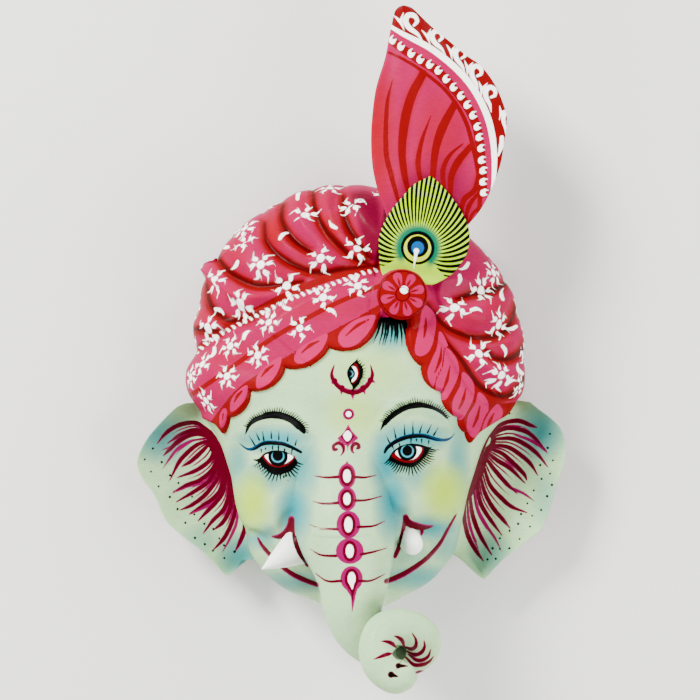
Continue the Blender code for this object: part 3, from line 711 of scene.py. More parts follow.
IRIS_RINGS = [
    # centre, radius and width, then where it starts and ends in degrees
    ((-72.2, -106), 5.9, 1.6, 140, 405), ((57.3, -101), 5.8, 1.7, 100, 440),
]
LEFT_EYE_BLACK = [
    (-97.5, -109.5), (-91.6, -108.6), (-86.2, -103.6), (-79.8, -101.1), (-72.5, -100.5), (-64.4, -101.6),
    (-58, -105), (-53.9, -108.6), (-52.4, -112.7), (-55.3, -117.3), (-59.8, -121.4), (-66.2, -123.6),
    (-72.5, -124.5), (-79.8, -122.3), (-86.2, -117.3), (-90.7, -112.7),
]
LEFT_EYE_RED = [
    (-87.3, -106.8), (-85.1, -105), (-56.9, -105.9), (-55.1, -107.5), (-58, -111.8), (-64.4, -115.9),
    (-72.5, -117.3), (-79.8, -115.3), (-84.4, -111.4),
]
LEFT_EYE_WHITE = [
    (-85.1, -105.6), (-79.8, -103.6), (-72.5, -102.7), (-63.5, -103.6), (-56.9, -106.6), (-59.8, -110.5),
    (-65.3, -113.8), (-72.5, -115.3), (-78.9, -113.5), (-83, -109.5),
]
RIGHT_EYE_BLACK = [
    (38.8, -109.5), (41.1, -103.6), (45.6, -98.9), (52.9, -95.2), (62.9, -93.5), (71.1, -94.5),
    (80.2, -97.1), (84.7, -94.4), (80.2, -99.1), (77, -104.5), (72.9, -109.5), (67.5, -114.5),
    (61.1, -117.3), (52, -115.6), (44.7, -112.7),
]
RIGHT_EYE_RED = [
    (41.3, -105.6), (45.8, -102.7), (71.1, -97.5), (73.6, -97.7), (72.5, -103.6), (68.4, -109.1),
    (61.1, -112.7), (52.9, -111.8), (45.6, -109.1),
]
RIGHT_EYE_WHITE = [
    (45.2, -102.7), (49.3, -99.1), (56.5, -96.4), (65.6, -96.5), (71.5, -98.2), (69.7, -103.6),
    (65.6, -108), (58.8, -110.2), (51.1, -108.2), (47, -105.5),
]
THIRD_BLACK = [
    (6.7, -10), (0, -15.6), (-3, -22.8), (-0.9, -31.1), (2.2, -36.7), (2.7, -40.2), (8.3, -35),
    (12.8, -26.1), (12.8, -17.8), (8.9, -13.3),
]
THIRD_RED = [
    (3.3, -13.9), (6.7, -13.9), (9.1, -20), (8.7, -26.7), (4.4, -33.3), (2.4, -32.8), (6.7, -25.6),
    (6.1, -18.9),
]
THIRD_WHITE = [
    (1.7, -16.4), (5.6, -17.2), (7.6, -23.3), (5.8, -28.9), (2.4, -32.2), (1.7, -30.6), (3.9, -25.6),
    (3.9, -20),
]
THIRD_CUP = [
    (-15.9, -15.3), (-18.3, -23.3), (-16.9, -29.4), (-12.2, -35.6), (-5.6, -40), (2.4, -42.2), (10, -40.6),
    (16.7, -35.6), (21.1, -28.9), (22.4, -23.3), (20.6, -15.3),
]
CUP_POINTS = [
    ((-15.5, -31), (-19.4, -33.9)), ((-8, -38), (-8.9, -45)), ((2.4, -42), (3, -50)),
    ((13, -38), (15.2, -45)), ((20.5, -30), (25.6, -32.8)),
]
BROW_DOT = (-1.4, -64.1)
BEADS = [
    # centre, half width and half height of the white, then how far the magenta reaches past it
    ((-3, -126), 3.8, 6.5, 5.1), ((-3, -149), 3.6, 5.9, 5.9), ((-1.6, -174.6), 4.0, 7.6, 8.0),
    ((-0.2, -201), 3.9, 6.8, 10.1), ((1.6, -228.6), 3.8, 6.4, 7.4),
]
SIDE_LINES = [
    [(-37, -125.6), (-25, -127.4), (-12, -127)], [(-38, -151), (-27, -153.6), (-12, -153)],
    [(-41, -174), (-29, -178.6), (-12, -179)], [(-40, -199), (-29, -205), (-14, -206)],
    [(-35, -223), (-23, -231), (-9, -231)], [(27, -125), (15, -127.4), (4, -127)],
    [(32, -146), (17, -150), (5, -150.6)], [(35, -171), (23, -176), (8, -177)],
    [(37, -198), (23, -202), (11, -204.4)], [(35, -224), (21, -230.6), (9, -231)],
]
LEFT_FOLD = [(-58.6, -170), (-59.4, -176), (-63, -182), (-70, -187), (-78, -187.4)]
LEFT_FOLD_DOWN = [(-57.4, -175), (-56, -189), (-51, -202), (-42.6, -214.6)]
RIGHT_FOLD = [(55.4, -168), (58, -173), (65, -176.4), (75, -177.8), (83.4, -176.6)]
RIGHT_FOLD_DOWN = [(54.6, -171), (52.4, -183), (48.6, -197), (45, -205.4)]
RIGHT_FOLD_SHORT = [(70.6, -177.4), (72.2, -181), (71, -184)]
MOUTH_LEFT = [
    (-92.2, -187.4), (-87, -196), (-79, -205), (-69, -215), (-59, -222.6), (-48, -228.2), (-33, -234),
]
MOUTH_RIGHT = [
    (36, -230.6), (45, -227.4), (57, -221.4), (75, -209), (89, -194), (98.6, -177), (106.6, -163),
]


HAIR_ROOTS = [(27, 31), (34, 27.5), (45, 26), (56, 27.5), (62, 31), (60, 38), (29, 38)]
HAIR_STROKES = 13


def paint_eyes(coats, x, y):
    """Both eyes with their lids, lashes and brows, and the third eye in its cup."""
    fill(coats["black"], x, y, LEFT_BROW_OVER + LEFT_BROW_UNDER[::-1])
    fill(coats["black"], x, y, RIGHT_BROW_OVER + RIGHT_BROW_UNDER[::-1])
    brush(coats["black"], x, y, LEFT_BROW_UNDER[1:-1], [0.6, 1.0, 0.6])
    brush(coats["black"], x, y, RIGHT_BROW_UNDER[1:-1], [0.6, 1.0, 0.6])
    for line, lengths, lean, count in (
        (LEFT_BROW_OVER[1:], [3.0, 4.2, 4.6, 4.2, 3.4], [-0.6, -0.2, 0.5, 1.2], 34),
        (RIGHT_BROW_OVER[1:-1], [4.2, 5.2, 5.4, 4.8, 3.2], [-0.9, -0.4, 0.1, 0.6], 36),
    ):
        lashes(coats["black"], x, y, line, lengths, lean, count)
    brush(coats["lid_blue"], x, y, LEFT_LID, [0.3, 1.4, 2.1, 2.1, 2.0, 1.9, 1.6, 1.2])
    brush(coats["lid_blue"], x, y, RIGHT_LID, [1.2, 1.9, 2.2, 2.2, 2.2, 2, 1.4, 0.3])
    for lid, widths in (
        (LEFT_LID[2:], [0.3, 1.2, 1.8, 1.8, 1.6, 1.4, 1.1]), (RIGHT_LID[:9], [1.2, 1.7, 1.9, 1.8, 1.2, 0.2])
    ):
        brush(coats["black"], x, y, [(px, py - 0.7) for px, py in lid], widths)
    for root, tip in LONG_LASHES:
        brush(coats["black"], x, y, [root, tip], [0.95, 0.3])
    for root, tip in SHORT_LASHES:
        brush(coats["black"], x, y, [root, tip], [0.85, 0.4])
    fill(coats["black"], x, y, LEFT_EYE_BLACK)
    fill(coats["black"], x, y, RIGHT_EYE_BLACK)
    lower = smooth_line(LEFT_EYE_BLACK[8:], 6)
    lashes(coats["black"], x, y, lower, [6, 7.5, 8.5, 8.5, 7.5], [-0.35, -0.2, 0.1, 0.4, 0.5], 18, 0.95)
    lower = smooth_line(RIGHT_EYE_BLACK[8:] + RIGHT_EYE_BLACK[:1], 6)
    lashes(coats["black"], x, y, lower, [8, 8.5, 9, 8.5, 6], [-0.8, -0.5, -0.1, 0.4, 0.6], 24, 0.95)
    fill(coats["eye_red"], x, y, LEFT_EYE_RED)
    fill(coats["eye_red"], x, y, RIGHT_EYE_RED)
    fill(coats["white"], x, y, LEFT_EYE_WHITE)
    fill(coats["white"], x, y, RIGHT_EYE_WHITE)
    for centre, radius in IRISES:
        dab(coats["iris"], x, y, centre, radius)
    coats["iris"] = np.minimum(coats["iris"], coats["black"] + 0.4)
    for iris_ring in IRIS_RINGS:
        ring(coats["iris_ring"], x, y, *iris_ring)
    for layer in ("eye_red", "white"):
        coats[layer] = np.minimum(coats[layer], 20)
    fill(coats["black"], x, y, THIRD_BLACK)
    right_side = smooth_line(THIRD_BLACK[5:] + THIRD_BLACK[:1], 6)
    lashes(coats["black"], x, y, right_side, [2.5, 4, 4.4, 4, 3], [-0.4, -0.2, 0.2, 0.4], 14, 0.8, -1.0)
    fill(coats["eye_red"], x, y, THIRD_RED)
    fill(coats["white"], x, y, THIRD_WHITE)
    dab(coats["iris"], x, y, (0.6, -23.9), 4.8)
    coats["iris"] = np.minimum(coats["iris"], coats["black"] + 0.2)
    ring(coats["iris_ring"], x, y, (-0.2, -23.9), 3.1, 1.3, -100, 95)
    brush(coats["magenta"], x, y, THIRD_CUP, [0.7, 2.0, 2.4, 2.7, 2.8, 2.7, 2.4, 2.0, 0.7])
    cup_core = [(px, py - 0.7) for px, py in THIRD_CUP]
    brush(coats["maroon"], x, y, cup_core, [0.4, 1.5, 1.9, 2.1, 2.2, 2.1, 1.9, 1.5, 0.4])
    for root, tip in CUP_POINTS:
        brush(coats["maroon"], x, y, [root, ((root[0] + tip[0]) / 2, (root[1] + tip[1]) / 2)], [2.8, 0.3])
        brush(coats["magenta"], x, y, [root, tip], [3.2, 0.2])


def paint_brow_jewels(coats, x, y):
    """The dot, the diamond and its two scrolls between the eyes."""
    for coat, radius in (("magenta", 5.8), ("maroon", 4.2), ("white", 2.8)):
        dab(coats[coat], x, y, BROW_DOT, radius)
    diamond = [
        (-1.7, -74.4), (2, -81), (8.9, -88.3), (2.5, -92.5), (-2.2, -97), (-7, -92.5), (-13.3, -88.9),
        (-6, -82),
    ]
    fill(coats["magenta"], x, y, diamond, smooth=False)
    fill(coats["maroon"], x, y, [(-2, -78.4), (4.4, -86.6), (-2.2, -94.4), (-9.4, -86.8)], smooth=False)
    brush(coats["magenta"], x, y, [(-2.2, -94), (-2.2, -103.3)], [1.0, 0.2])
    fill(coats["white"], x, y, [(-2.2, -80.6), (1.7, -85.6), (-2.4, -91.3), (-6.9, -85.6)])
    left = [
        (-13.3, -99.4), (-16.1, -99.4), (-16.4, -95.6), (-11.7, -93.1), (-7.2, -95.6), (-6.4, -101.1),
        (-9.4, -105.8),
    ]
    right = [(7.2, -98.3), (9.1, -97.2), (8.3, -94.4), (5, -93.6), (2.2, -96.7), (2.2, -101.1), (5, -103.9)]
    for line in (left, right):
        brush(coats["magenta"], x, y, line, [1.6, 1.9, 1.7, 1.9, 2.1, 1.5, 0.5])
        brush(coats["maroon"], x, y, line, [1.3, 1.4, 1.3, 1.4, 1.5, 0.9, 0.3])


def paint_trunk_front(coats, x, y):
    """The chain of white beads down the trunk, with a fine line to each side of each bead."""
    for centre, half_width, half_height, halo in BEADS:
        tall = half_height / half_width
        dab(coats["white"], x, y, centre, half_width, tall)
        outer = half_width + 3.1
        dab(coats["maroon"], x, y, centre, outer, (half_height + 3.6) / outer)
        dab(coats["magenta"], x, y, centre, half_width + halo, (half_height + 6.2) / (half_width + halo))
    cx, cy = BEADS[0][0]
    brush(coats["magenta"], x, y, [(cx, cy + 8), (cx, cy + 15)], [3.6, 0.3])
    cx, cy = BEADS[-1][0]
    brush(coats["magenta"], x, y, [(cx, cy - 8), (cx + 1.5, cy - 18), (cx + 0.6, cy - 33)], [6.4, 2.4, 0.3])
    brush(coats["maroon"], x, y, [(cx, cy - 7), (cx + 1, cy - 13), (cx + 0.6, cy - 23)], [4.4, 1.7, 0.2])
    brush(coats["white"], x, y, [(cx, cy - 4), (cx + 0.7, cy - 10.5)], [2.7, 0.3])
    for line in SIDE_LINES:
        brush(coats["maroon"], x, y, line, [0.2, 0.9, 1.3])
        brush(coats["magenta"], x, y, line, [0.5, 1.2, 1.6])


def paint_mouth(coats, x, y):
    """The mouth's line and the folds where the tusks come out."""
    for line, widths in (
        (LEFT_FOLD, [2.8, 3.4, 3.0, 2.2, 0.4]), (LEFT_FOLD_DOWN, [1.6, 1.6, 1.9, 1.2]),
        (RIGHT_FOLD, [2.6, 3.2, 3.2, 2.0, 0.3]), (RIGHT_FOLD_DOWN, [1.6, 1.7, 1.9, 1.8]),
        (RIGHT_FOLD_SHORT, [1.2, 1.4, 0.8]), (MOUTH_LEFT, [0.7, 1.5, 1.7, 1.7, 2, 2.1, 1.8]),
        (MOUTH_RIGHT, [1.9, 2.3, 2.2, 1.9, 1.6, 1.1, 0.5]),
    ):
        brush(coats["maroon"], x, y, line, widths)
        edge = 1.0 if line in (LEFT_FOLD, RIGHT_FOLD) else -0.9
        brush(coats["magenta"], x, y, [(px, py + edge) for px, py in line], [w + 0.5 for w in widths])
    dab(coats["magenta"], x, y, LEFT_FOLD[0], 3.3)
    dab(coats["magenta"], x, y, RIGHT_FOLD[0], 2.6)


def skin_paint(x, y):
    """Every coat on the mint ground of the face, by where each point is seen from the front."""
    coats = bare_coats(len(x), "gloss skin paint")
    for wash, spots in (("wash_blue", BLUE_SHADES), ("wash_green", GREEN_SHADES)):
        for centre, half_size, strength in spots:
            coats[wash] = np.maximum(coats[wash], strength * bump(x, y, centre, half_size) ** 0.6)
    paint_eyes(coats, x, y)
    paint_brow_jewels(coats, x, y)
    paint_trunk_front(coats, x, y)
    paint_mouth(coats, x, y)
    fill(coats["black"], x, y, HAIR_ROOTS)
    for k in range(HAIR_STROKES):
        t = k / (HAIR_STROKES - 1)
        root = np.array([28.5 + 32 * t, 29.0])
        reach = 17 + 9 * math.sin(math.pi * (0.1 + 0.75 * t)) + 2.4 * math.sin(7.1 * k)
        tip = root + np.array([(t - 0.55) * 16 + 1.2 * math.sin(4.3 * k), -reach])
        brush(coats["black"], x, y, [root, (root + tip) / 2 + (0.9, 0), tip], [1.5, 1.05, 0.25], smooth=False)
    coats["wash_blue"] = np.maximum(coats["wash_blue"], 0.9 * bump(x, y, (42, 16), (34, 26)))
    return coats


FACE_COLUMNS, FACE_ROWS, INNER_STEP = 360, 264, 8
face_u = np.interp(
    np.linspace(0, 1, FACE_COLUMNS + 1),
    [0, 0.061, 0.35, 0.428, 0.594, 0.628, 0.939, 1], [-1, -0.54, -0.17, -0.07, 0.065, 0.1, 0.46, 1],
)
share_up = np.interp(
    np.linspace(0, 1, FACE_ROWS + 1), [0, 0.273, 0.545, 0.848, 0.977, 1], [0, 0.424, 0.588, 0.795, 0.94, 1]
)
face_top = np.interp(face_u, SEAM_COLUMNS, SEAM_ABOVE)
face_seam = np.interp(face_u, SEAM_COLUMNS, SEAM_MIDDLE)


def face_lines(top):
    """The square's lines up the face, closest together over the eyes."""
    low = np.interp(share_up, [0, 0.1, 0.42, 1], [-1, -0.66, -0.26, 0])
    return low[None] + top[:, None] * ramp(share_up, 0.3, 1)[None]


u = face_u[:, None] + 0 * share_up[None]
v = face_lines(face_top)
places, normal, share, x, y = head_surface(u, v)
reach = trunk_front(x, y) - 1.8
places[..., 2] = np.where(share < DOME_SHARE, soft_top(places[..., 2], reach, 7), places[..., 2])
front = places * SQUARE + ORIGIN
u_in = face_u[::INNER_STEP, None] + 0 * share_up[None, ::INNER_STEP]
v_in = face_lines(face_seam)[::INNER_STEP, ::INNER_STEP]


def inner_surface(u, v):
    """The raw inside of the head, a wall's thickness in, with the hollow of the trunk's root."""
    places, normal, share, x, y = head_surface(u, v)
    cloth = ramp(within_turban(x, y), *EDGE_FADE)
    places = places + normal * (0.5 * turban_rise(x, y) * cloth * ramp(places[..., 2], *RIM_FADE))[..., None]
    places = places - normal * WALL
    pocketed = np.maximum(places[..., 2], trunk_pocket(x, y))
    places[..., 2] = np.where(share < 0.7, pocketed, places[..., 2])
    return places * SQUARE + ORIGIN


coats = skin_paint(*[values.ravel() for values in drawn(front)])
back = inner_surface(u_in, v_in)
face = skin_of_grids("mask_face", front, back, coats, "gloss skin paint", "raw paper pulp")
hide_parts("mask_shell")

# The turban: pulp built up on the head in folds that end in a row of scallops over the brow, painted pink
# with red pleats, orange blushes and white flowers. Its round knot carries the brooch. It is one with the
# mask. The dark red beside each crease and in the patch left of the crest is painted shade.


def turban_cloth(x, y, share):
    """The height of the turban's cloth, with its pleats pressed in and the knot for the brooch."""
    keep = 1 - 0.85 * ramp(share, 0.55 * DOME_SHARE, DOME_SHARE)
    lines = LEFT_PLEATS + RIGHT_PLEATS
    cuts = [groove(x, y, line, 17) * 10 for line in lines] + [groove(x, y, BAND_TOP, 14) * 6]
    cloth = np.maximum(turban_rise(x, y) - np.linalg.norm(cuts, axis=0) * keep, 0.4 * BAND_RISE)
    cloth = cloth - sum(groove(x, y, line, 4.5) for line in lines) * 1.3 * ramp(cloth, 2, 5)
    knot = np.clip(1.6 * bump(x, y, *KNOT), 0, 1)
    return cloth * (1 - knot) + (BAND_RISE + KNOT_RISE) * knot


def turban_surface(u, v):
    """The turban's painted outside, whose scalloped edge rolls down into the face."""
    places, normal, share, x, y = head_surface(u, v)
    roll = np.clip((within_turban(x, y) + 1) / 4.5, 0, 1)
    lift = (turban_cloth(x, y, share) + 2) * np.sqrt(1 - (1 - roll) ** 2) - 2
    return places + normal * (lift * ramp(places[..., 2], *RIM_FADE))[..., None], normal


def flower(layer, places, normals, x, y, centre, size, seed):
    """A painted flower: a round heart with pointed petals, each of two strokes that meet at the heart."""
    chance = np.random.default_rng(seed)
    start = np.argmin((x - centre[0]) ** 2 + (y - centre[1]) ** 2 + 50 * (normals[:, 2] < 0.02))
    middle, facing = places[start], normals[start]
    across = np.cross((0, 1, 0), facing)
    across /= np.linalg.norm(across)
    upward = np.cross(facing, across)
    away = places - middle
    near = np.flatnonzero(np.linalg.norm(away, axis=1) < 21 * size)
    px, py, part = away[near] @ across / size, away[near] @ upward / size, layer[near] / size
    dab(part, px, py, (0, 0), 4.0 * chance.uniform(0.92, 1.08))
    petals = 5 if chance.random() < 0.4 else 6
    turn = chance.uniform(0, math.tau)
    swirl = chance.choice((-1, 1))
    for k in range(petals):
        way = turn + math.tau * k / petals + chance.uniform(-0.12, 0.12)
        reach = chance.uniform(14.6, 18.4)
        line = [(r * math.cos(way + b), r * math.sin(way + b)) for r, b in
                ((6.3, 0), (8.6, 0.05 * swirl), (11.8, 0.1 * swirl), (reach, -0.2 * swirl))]
        brush(part, px, py, line, [0.9, 1.95, 1.9, 1.1, 0.6, 0.25])
        side = (9.6 * math.cos(way + 0.34 * swirl), 9.6 * math.sin(way + 0.34 * swirl))
        barb = (13.2 * math.cos(way + 0.42 * swirl), 13.2 * math.sin(way + 0.42 * swirl))
        brush(part, px, py, [line[0], side, barb], [0.6, 0.75, 0.2])
    layer[near] = part * size


def stroke_points(points, centre, turn, size):
    """Points of a stroke's own drawing, turned by so many degrees, sized and moved to its centre."""
    along, over = math.cos(math.radians(turn)), math.sin(math.radians(turn))
    return [
        (centre[0] + size * (a * along - b * over), centre[1] + size * (a * over + b * along))
        for a, b in points
    ]


def loose_petal(layer, x, y, centre, turn, size):
    """One free stroke of white, thick at its head and curled at its tail."""
    line = stroke_points([(-5, 0), (0, 1.4), (5, 0.4), (8, -2.4)], centre, turn, size)
    brush(layer, x, y, line, [1.9 * size, 2.3 * size, 1.2 * size, 0.2])


def commas(layer, x, y, line, count, size):
    """A row of small white commas to the right of a line, their tails all curling the same way."""
    points = even_points(line, count)
    run = np.gradient(points, axis=0)
    run /= np.linalg.norm(run, axis=1, keepdims=True)
    for head, way in zip(points, run):
        away = np.array([way[1], -way[0]])
        middle = head + (away * 2.4 + way) * size
        tail = head + (away * 4.4 + way * 3.2) * size
        brush(layer, x, y, [head, middle, tail], [1.9 * size, 1.5 * size, 0.2], smooth=False)


# The dark wash is painted shade, beside the creases and in the patch left of the crest.
TURBAN_COATS = [
    ("wash_orange", "wash", "#85000A"), ("wash_dark_shade", "wash", "#390002"), ("red", "edge", "#6C0004"),
    ("red_core", "wash", "#2D0001"), ("petal", "edge", "#9C0645"), ("slash", "edge", "#6C0004"),
    ("white", "edge", "#FFFFF0"),
]
gloss_paint("gloss turban paint", "#8E063D", TURBAN_COATS, 0.42, 0.0006)
RED_CREASES = [
    [(-86.2, 126.2), (-83.8, 107.5), (-70, 92.5), (-50, 81.2), (-30, 76.2), (-5, 80), (27.5, 83.8)],
    [(-67.5, 145), (-68.8, 130), (-60, 112.5), (-45, 100), (-40, 97.5)],
    [(-37.5, 160), (-36.2, 142.5), (-27.5, 122.5), (-10, 102.5), (5, 90), (20, 83.8)],
    [(-7.5, 152.5), (-6.2, 135), (-1.2, 120), (5, 111.2), (17.5, 92.5)],
    [(-133.8, 97.5), (-130, 87.5), (-117.5, 75), (-97.5, 65), (-75, 63.8), (-47.5, 67.5)],
    [(-143.8, 65), (-140, 45), (-125, 30), (-107.5, 30), (-90, 37.5)],
    [(-158.8, 20), (-147.5, 20), (-130, 17.5)], [(106, 50), (120, 55), (145, 60), (160, 70)],
    [(77, 45), (92, 25), (110, 15), (130, 11), (150, 15), (160, 28), (166, 45)],
    [(135, -1), (145, -9), (157, -10), (170, -2), (178, 12)],
    [(90, 14), (110, -10), (127, -35), (145, -46), (160, -45), (174, -28)],
]
BAND_LINE = [
    (-162.5, -6.2), (-152.5, 1.2), (-137.5, 12.5), (-105, 32.5), (-62.5, 55), (-20, 72.5), (27.5, 83.8),
    (40, 86),
]
BAND_LOWER = [
    (37.5, 67), (25, 62.5), (-17.5, 45), (-72.5, 15), (-115, -15), (-155, -42.5), (-162.5, -46.2),
]
SCALLOP_TOP = [
    (34, 50), (24, 43), (2, 30), (-16, 21), (-45, 4), (-65, -6), (-88, -21), (-107, -34), (-122, -48),
    (-134, -64), (-146, -80),
]
RIGHT_BAND = [(75, 48), (94, 12), (112, -18), (130, -42), (147, -55), (170, -54)]
COMMA_LINE = [
    (26.5, 78.8), (11.2, 75.5), (5, 73), (-17.5, 65), (-60, 50), (-92.5, 33.8), (-120, 20), (-137.5, 10),
    (-152.5, -2.5),
]
# Painted shade: a patch of dark red on the turban to the left of the crest and the feather.
TURBAN_SHADE_PATCH = [
    (3.8, 158.8), (20, 157.5), (28.8, 147.5), (30.5, 115), (29, 84), (20, 92.5), (10, 120), (6.2, 135),
    (0, 152.5),
]
PETALS = [
    # the pink petal, then the red slash across it
    (
        [(-11.2, 7.5), (-10, 17.5), (5, 30), (25, 35), (20, 20), (7.5, 6.2), (-5, 2.5)],
        [(-4, 14.5), (7.5, 24.5), (19, 30.5)],
    ),
    (
        [(-55.8, -10), (-52.5, 0), (-37.5, 10), (-22.5, 16.2), (-27.5, 1.2), (-40, -10), (-50, -13.8)],
        [(-48.5, -3), (-40, 4.5), (-31, 9)],
    ),
    (
        [(-93.8, -37), (-92.5, -25), (-82.5, -15), (-68.8, -6.5), (-72, -21.2), (-80, -32.5), (-89.5, -38)],
        [(-89, -27), (-83, -20), (-76.5, -15)],
    ),
    (
        [
            (-120, -60), (-118.8, -50), (-111.2, -40), (-102.5, -35.5), (-104.5, -48.8), (-112, -57.5),
            (-117.5, -61.5),
        ],
        [(-116, -52.5), (-112.5, -46), (-108, -41)],
    ),
    (
        [(-130, -76.2), (-130.5, -66.2), (-127, -58.8), (-123.2, -60), (-124, -71.2), (-127, -77.5)],
        [(-127.5, -70), (-126.8, -63.8)],
    ),
    (
        [
            (75.5, 45), (83.8, 37.5), (86.2, 27.5), (83, 7.5), (77.5, -3), (70, -6.2), (65, -2.5),
            (65.5, 7.5), (69.5, 25), (72, 40),
        ],
        [(76, 32.5), (75.5, 22.5), (74, 12)],
    ),
    (
        [
            (89.5, 19), (97, 7.5), (98.8, -5), (93, -22.5), (87.5, -37), (81.2, -35), (77.5, -22.5),
            (82, -8.8), (87, 2.5),
        ],
        [(91.5, 2.5), (90, -10), (85, -22.5)],
    ),
    (
        [(96, 2), (106, -8), (109, -22), (103, -38), (95, -50), (87, -46), (86, -32), (93, -16)],
        [(100, -16), (97, -30), (93, -40)],
    ),
    (
        [(113, -22), (123, -32), (124, -46), (118, -60), (111, -70), (103, -64), (103, -50), (110, -36)],
        [(116, -38), (113, -50), (109, -59)],
    ),
    (
        [(129, -42), (138, -52), (137, -66), (130, -80), (124, -88), (117, -80), (118, -66), (125, -54)],
        [(130, -56), (127, -68), (123, -77)],
    ),
    (
        [(147, -54), (153, -62), (148, -74), (139, -87), (132, -82), (136, -68)],
        [(144, -63), (140, -71), (137, -78)],
    ),
]
FLOWERS = [
    (-44, 134), (2, 142), (-29, 92), (7.5, 102), (-105, 105), (-89, 85), (-63, 64.5), (-109.5, 46),
    (-105, 122), (-136, 71), (-142, 22), (-151, 44), (-157.5, 7.5), (131, 59.5), (104.5, 42.5), (144, 77.5),
    (149, 26), (129, -4), (152, -25), (172.5, -5),
]
BAND_FLOWERS = [
    (7, 64), (-27, 52.5), (-81, 27.5), (-51, 22), (-120, 4.5), (-92, -5.5), (-148, -14), (-122.5, -26),
    (-159.5, -27.5), (-144, -51),
]
SIDE_FLOWERS = [
    (-154, 80), (-126, 128), (-84, 151), (-20, 162), (34, 154), (146, 100), (169, 44), (174, 18),
    (-162, 32), (170, -36),
]
LOOSE_PETALS = [
    (-67, 114), (-17, 125), (-115, 85), (-131, 39), (-51, 155), (-126, 104), (109, 70.5), (125.5, 40),
    (152.5, 55), (162, 22.5), (154, 0), (160, -32.5), (170, -20), (115, 84), (-18, 38), (-104, 15),
    (-64, 43), (-137, -2),
]
ORANGE_BLUSH = [
    # the middle and half size of each patch, then how strong it is
    ((-78, 117), (18, 24), 0.9), ((-20, 122), (16, 20), 0.85), ((-118, 96), (20, 22), 0.45),
    ((-150, 42), (16, 26), 0.5), ((2, 96), (24, 24), 0.4), ((-104, 56), (34, 12), 0.35),
    ((-60, 84), (26, 14), 0.5), ((118, 30), (26, 12), 0.4), ((150, 6), (16, 24), 0.4),
    ((112, -10), (14, 20), 0.45), ((146, 44), (14, 20), 0.4), ((-40, 150), (60, 16), 0.35),
    ((-40, 42), (70, 14), 0.3), ((-120, -6), (30, 20), 0.3),
]


def turban_paint(places, normals):
    """Every coat on the turban's pink ground."""
    x, y = drawn(places * SQUARE + ORIGIN)
    coats = bare_coats(len(x), "gloss turban paint")
    for centre, half_size, strength in ORANGE_BLUSH:
        patch = strength * bump(x, y, centre, half_size) ** 0.5
        coats["wash_orange"] = np.maximum(coats["wash_orange"], patch)
    # Painted shade: beside each crease the red deepens towards dark red, laid on as the dark wash.
    shadow = np.zeros(len(x))
    for line in RED_CREASES:
        glow = np.full(len(x), BARE)
        brush(glow, x, y, line, [2, 3, 2])
        coats["wash_orange"] = np.maximum(coats["wash_orange"], 0.9 * ramp(glow, -9, 1))
        shadow = np.maximum(shadow, 0.5 * ramp(glow, -5.5, 1.5))
        brush(coats["red"], x, y, line, [1.4, 3.6, 4.7, 4.9, 4.2, 2.4])
    core = np.full(len(x), BARE)
    for line in RED_CREASES:
        brush(core, x, y, [(px + 0.6, py + 1.0) for px, py in line], [0.2, 1.0, 1.5, 1.5, 1.1, 0.3])
    coats["red_core"] = 0.85 * ramp(core, -2.2, 0.5)
    # Painted shade: the patch left of the crest is darkened to dark red too.
    dark = np.full(len(x), BARE)
    fill(dark, x, y, TURBAN_SHADE_PATCH)
    coats["wash_dark_shade"] = np.maximum(shadow, 0.65 * ramp(dark, -4, 4))
    brush(coats["red"], x, y, BAND_LINE, [1.8, 3.0, 3.6, 3.8, 3.6, 3.0])
    brush(coats["red"], x, y, RIGHT_BAND, [2.2, 3.2, 3.4, 3.0, 2.2])
    brush(coats["red"], x, y, BAND_LOWER, [2.0, 2.4, 2.5, 2.3, 2.0])
    below, side = from_line(x, y, smooth_line(SCALLOP_TOP, 5), 60)
    edge = within_turban(x, y)
    on_petals = (side > 0) & (x < 31) & (below < 55)
    right_gap, right_side = from_line(x, y, smooth_line(RIGHT_BAND, 5), 60)
    on_petals |= (right_side < 0) & (x > 50) & (y < 60) & (right_gap < 55)
    red_ground = np.minimum(np.where(on_petals, np.where(x < 40, below, right_gap), BARE), 9)
    coats["red"] = np.maximum(coats["red"], np.where(on_petals & (edge > -3), red_ground, BARE))
    for petal, slash in PETALS:
        part = np.full(len(x), BARE)
        fill(part, x, y, petal)
        coats["petal"] = np.where(part > -1.5, part, coats["petal"])
        brush(coats["slash"], x, y, slash, [0.6, 1.8, 0.8])
    for centres, size, first_seed in (
        (FLOWERS, 0.98, 0), (BAND_FLOWERS, 0.86, 100), (SIDE_FLOWERS, 0.86, 200)
    ):
        for k, centre in enumerate(centres):
            flower(coats["white"], places, normals, x, y, centre, size, first_seed + k)
    strokes = np.full(len(x), BARE)
    for k, centre in enumerate(LOOSE_PETALS):
        loose_petal(strokes, x, y, centre, 40 + 97 * k, 0.85)
    commas(strokes, x, y, COMMA_LINE, 32, 0.8)
    coats["white"] = np.maximum(coats["white"], np.where(normals[:, 2] > 0.2, strokes, BARE))
    return coats


TURBAN_COLUMNS, TURBAN_ROWS = 336, 288
turban_u = np.interp(np.linspace(0, 1, TURBAN_COLUMNS + 1), [0, 0.08, 0.92, 1], [-1, -0.72, 0.72, 1])
share_up = np.linspace(0, 1, TURBAN_ROWS + 1)


def turban_lines(bottom):
    """The square's lines up the turban, from its edge to the crown's rim."""
    return bottom[:, None] + (1 - bottom[:, None]) * np.interp(share_up, [0, 0.92, 1], [0, 0.84, 1])[None]


u = turban_u[:, None] + 0 * share_up[None]
v = turban_lines(np.interp(turban_u, SEAM_COLUMNS, SEAM_BELOW))
places, normals = turban_surface(u, v)
inner_v = turban_lines(np.interp(turban_u, SEAM_COLUMNS, SEAM_MIDDLE))
inner = inner_surface(u[::INNER_STEP, ::INNER_STEP], inner_v[::INNER_STEP, ::INNER_STEP])
coats = turban_paint(places.reshape(-1, 3), normals.reshape(-1, 3))
turban = skin_of_grids(
    "mask_turban", places * SQUARE + ORIGIN, inner, coats, "gloss turban paint", "raw paper pulp"
)
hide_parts("mask_shell")
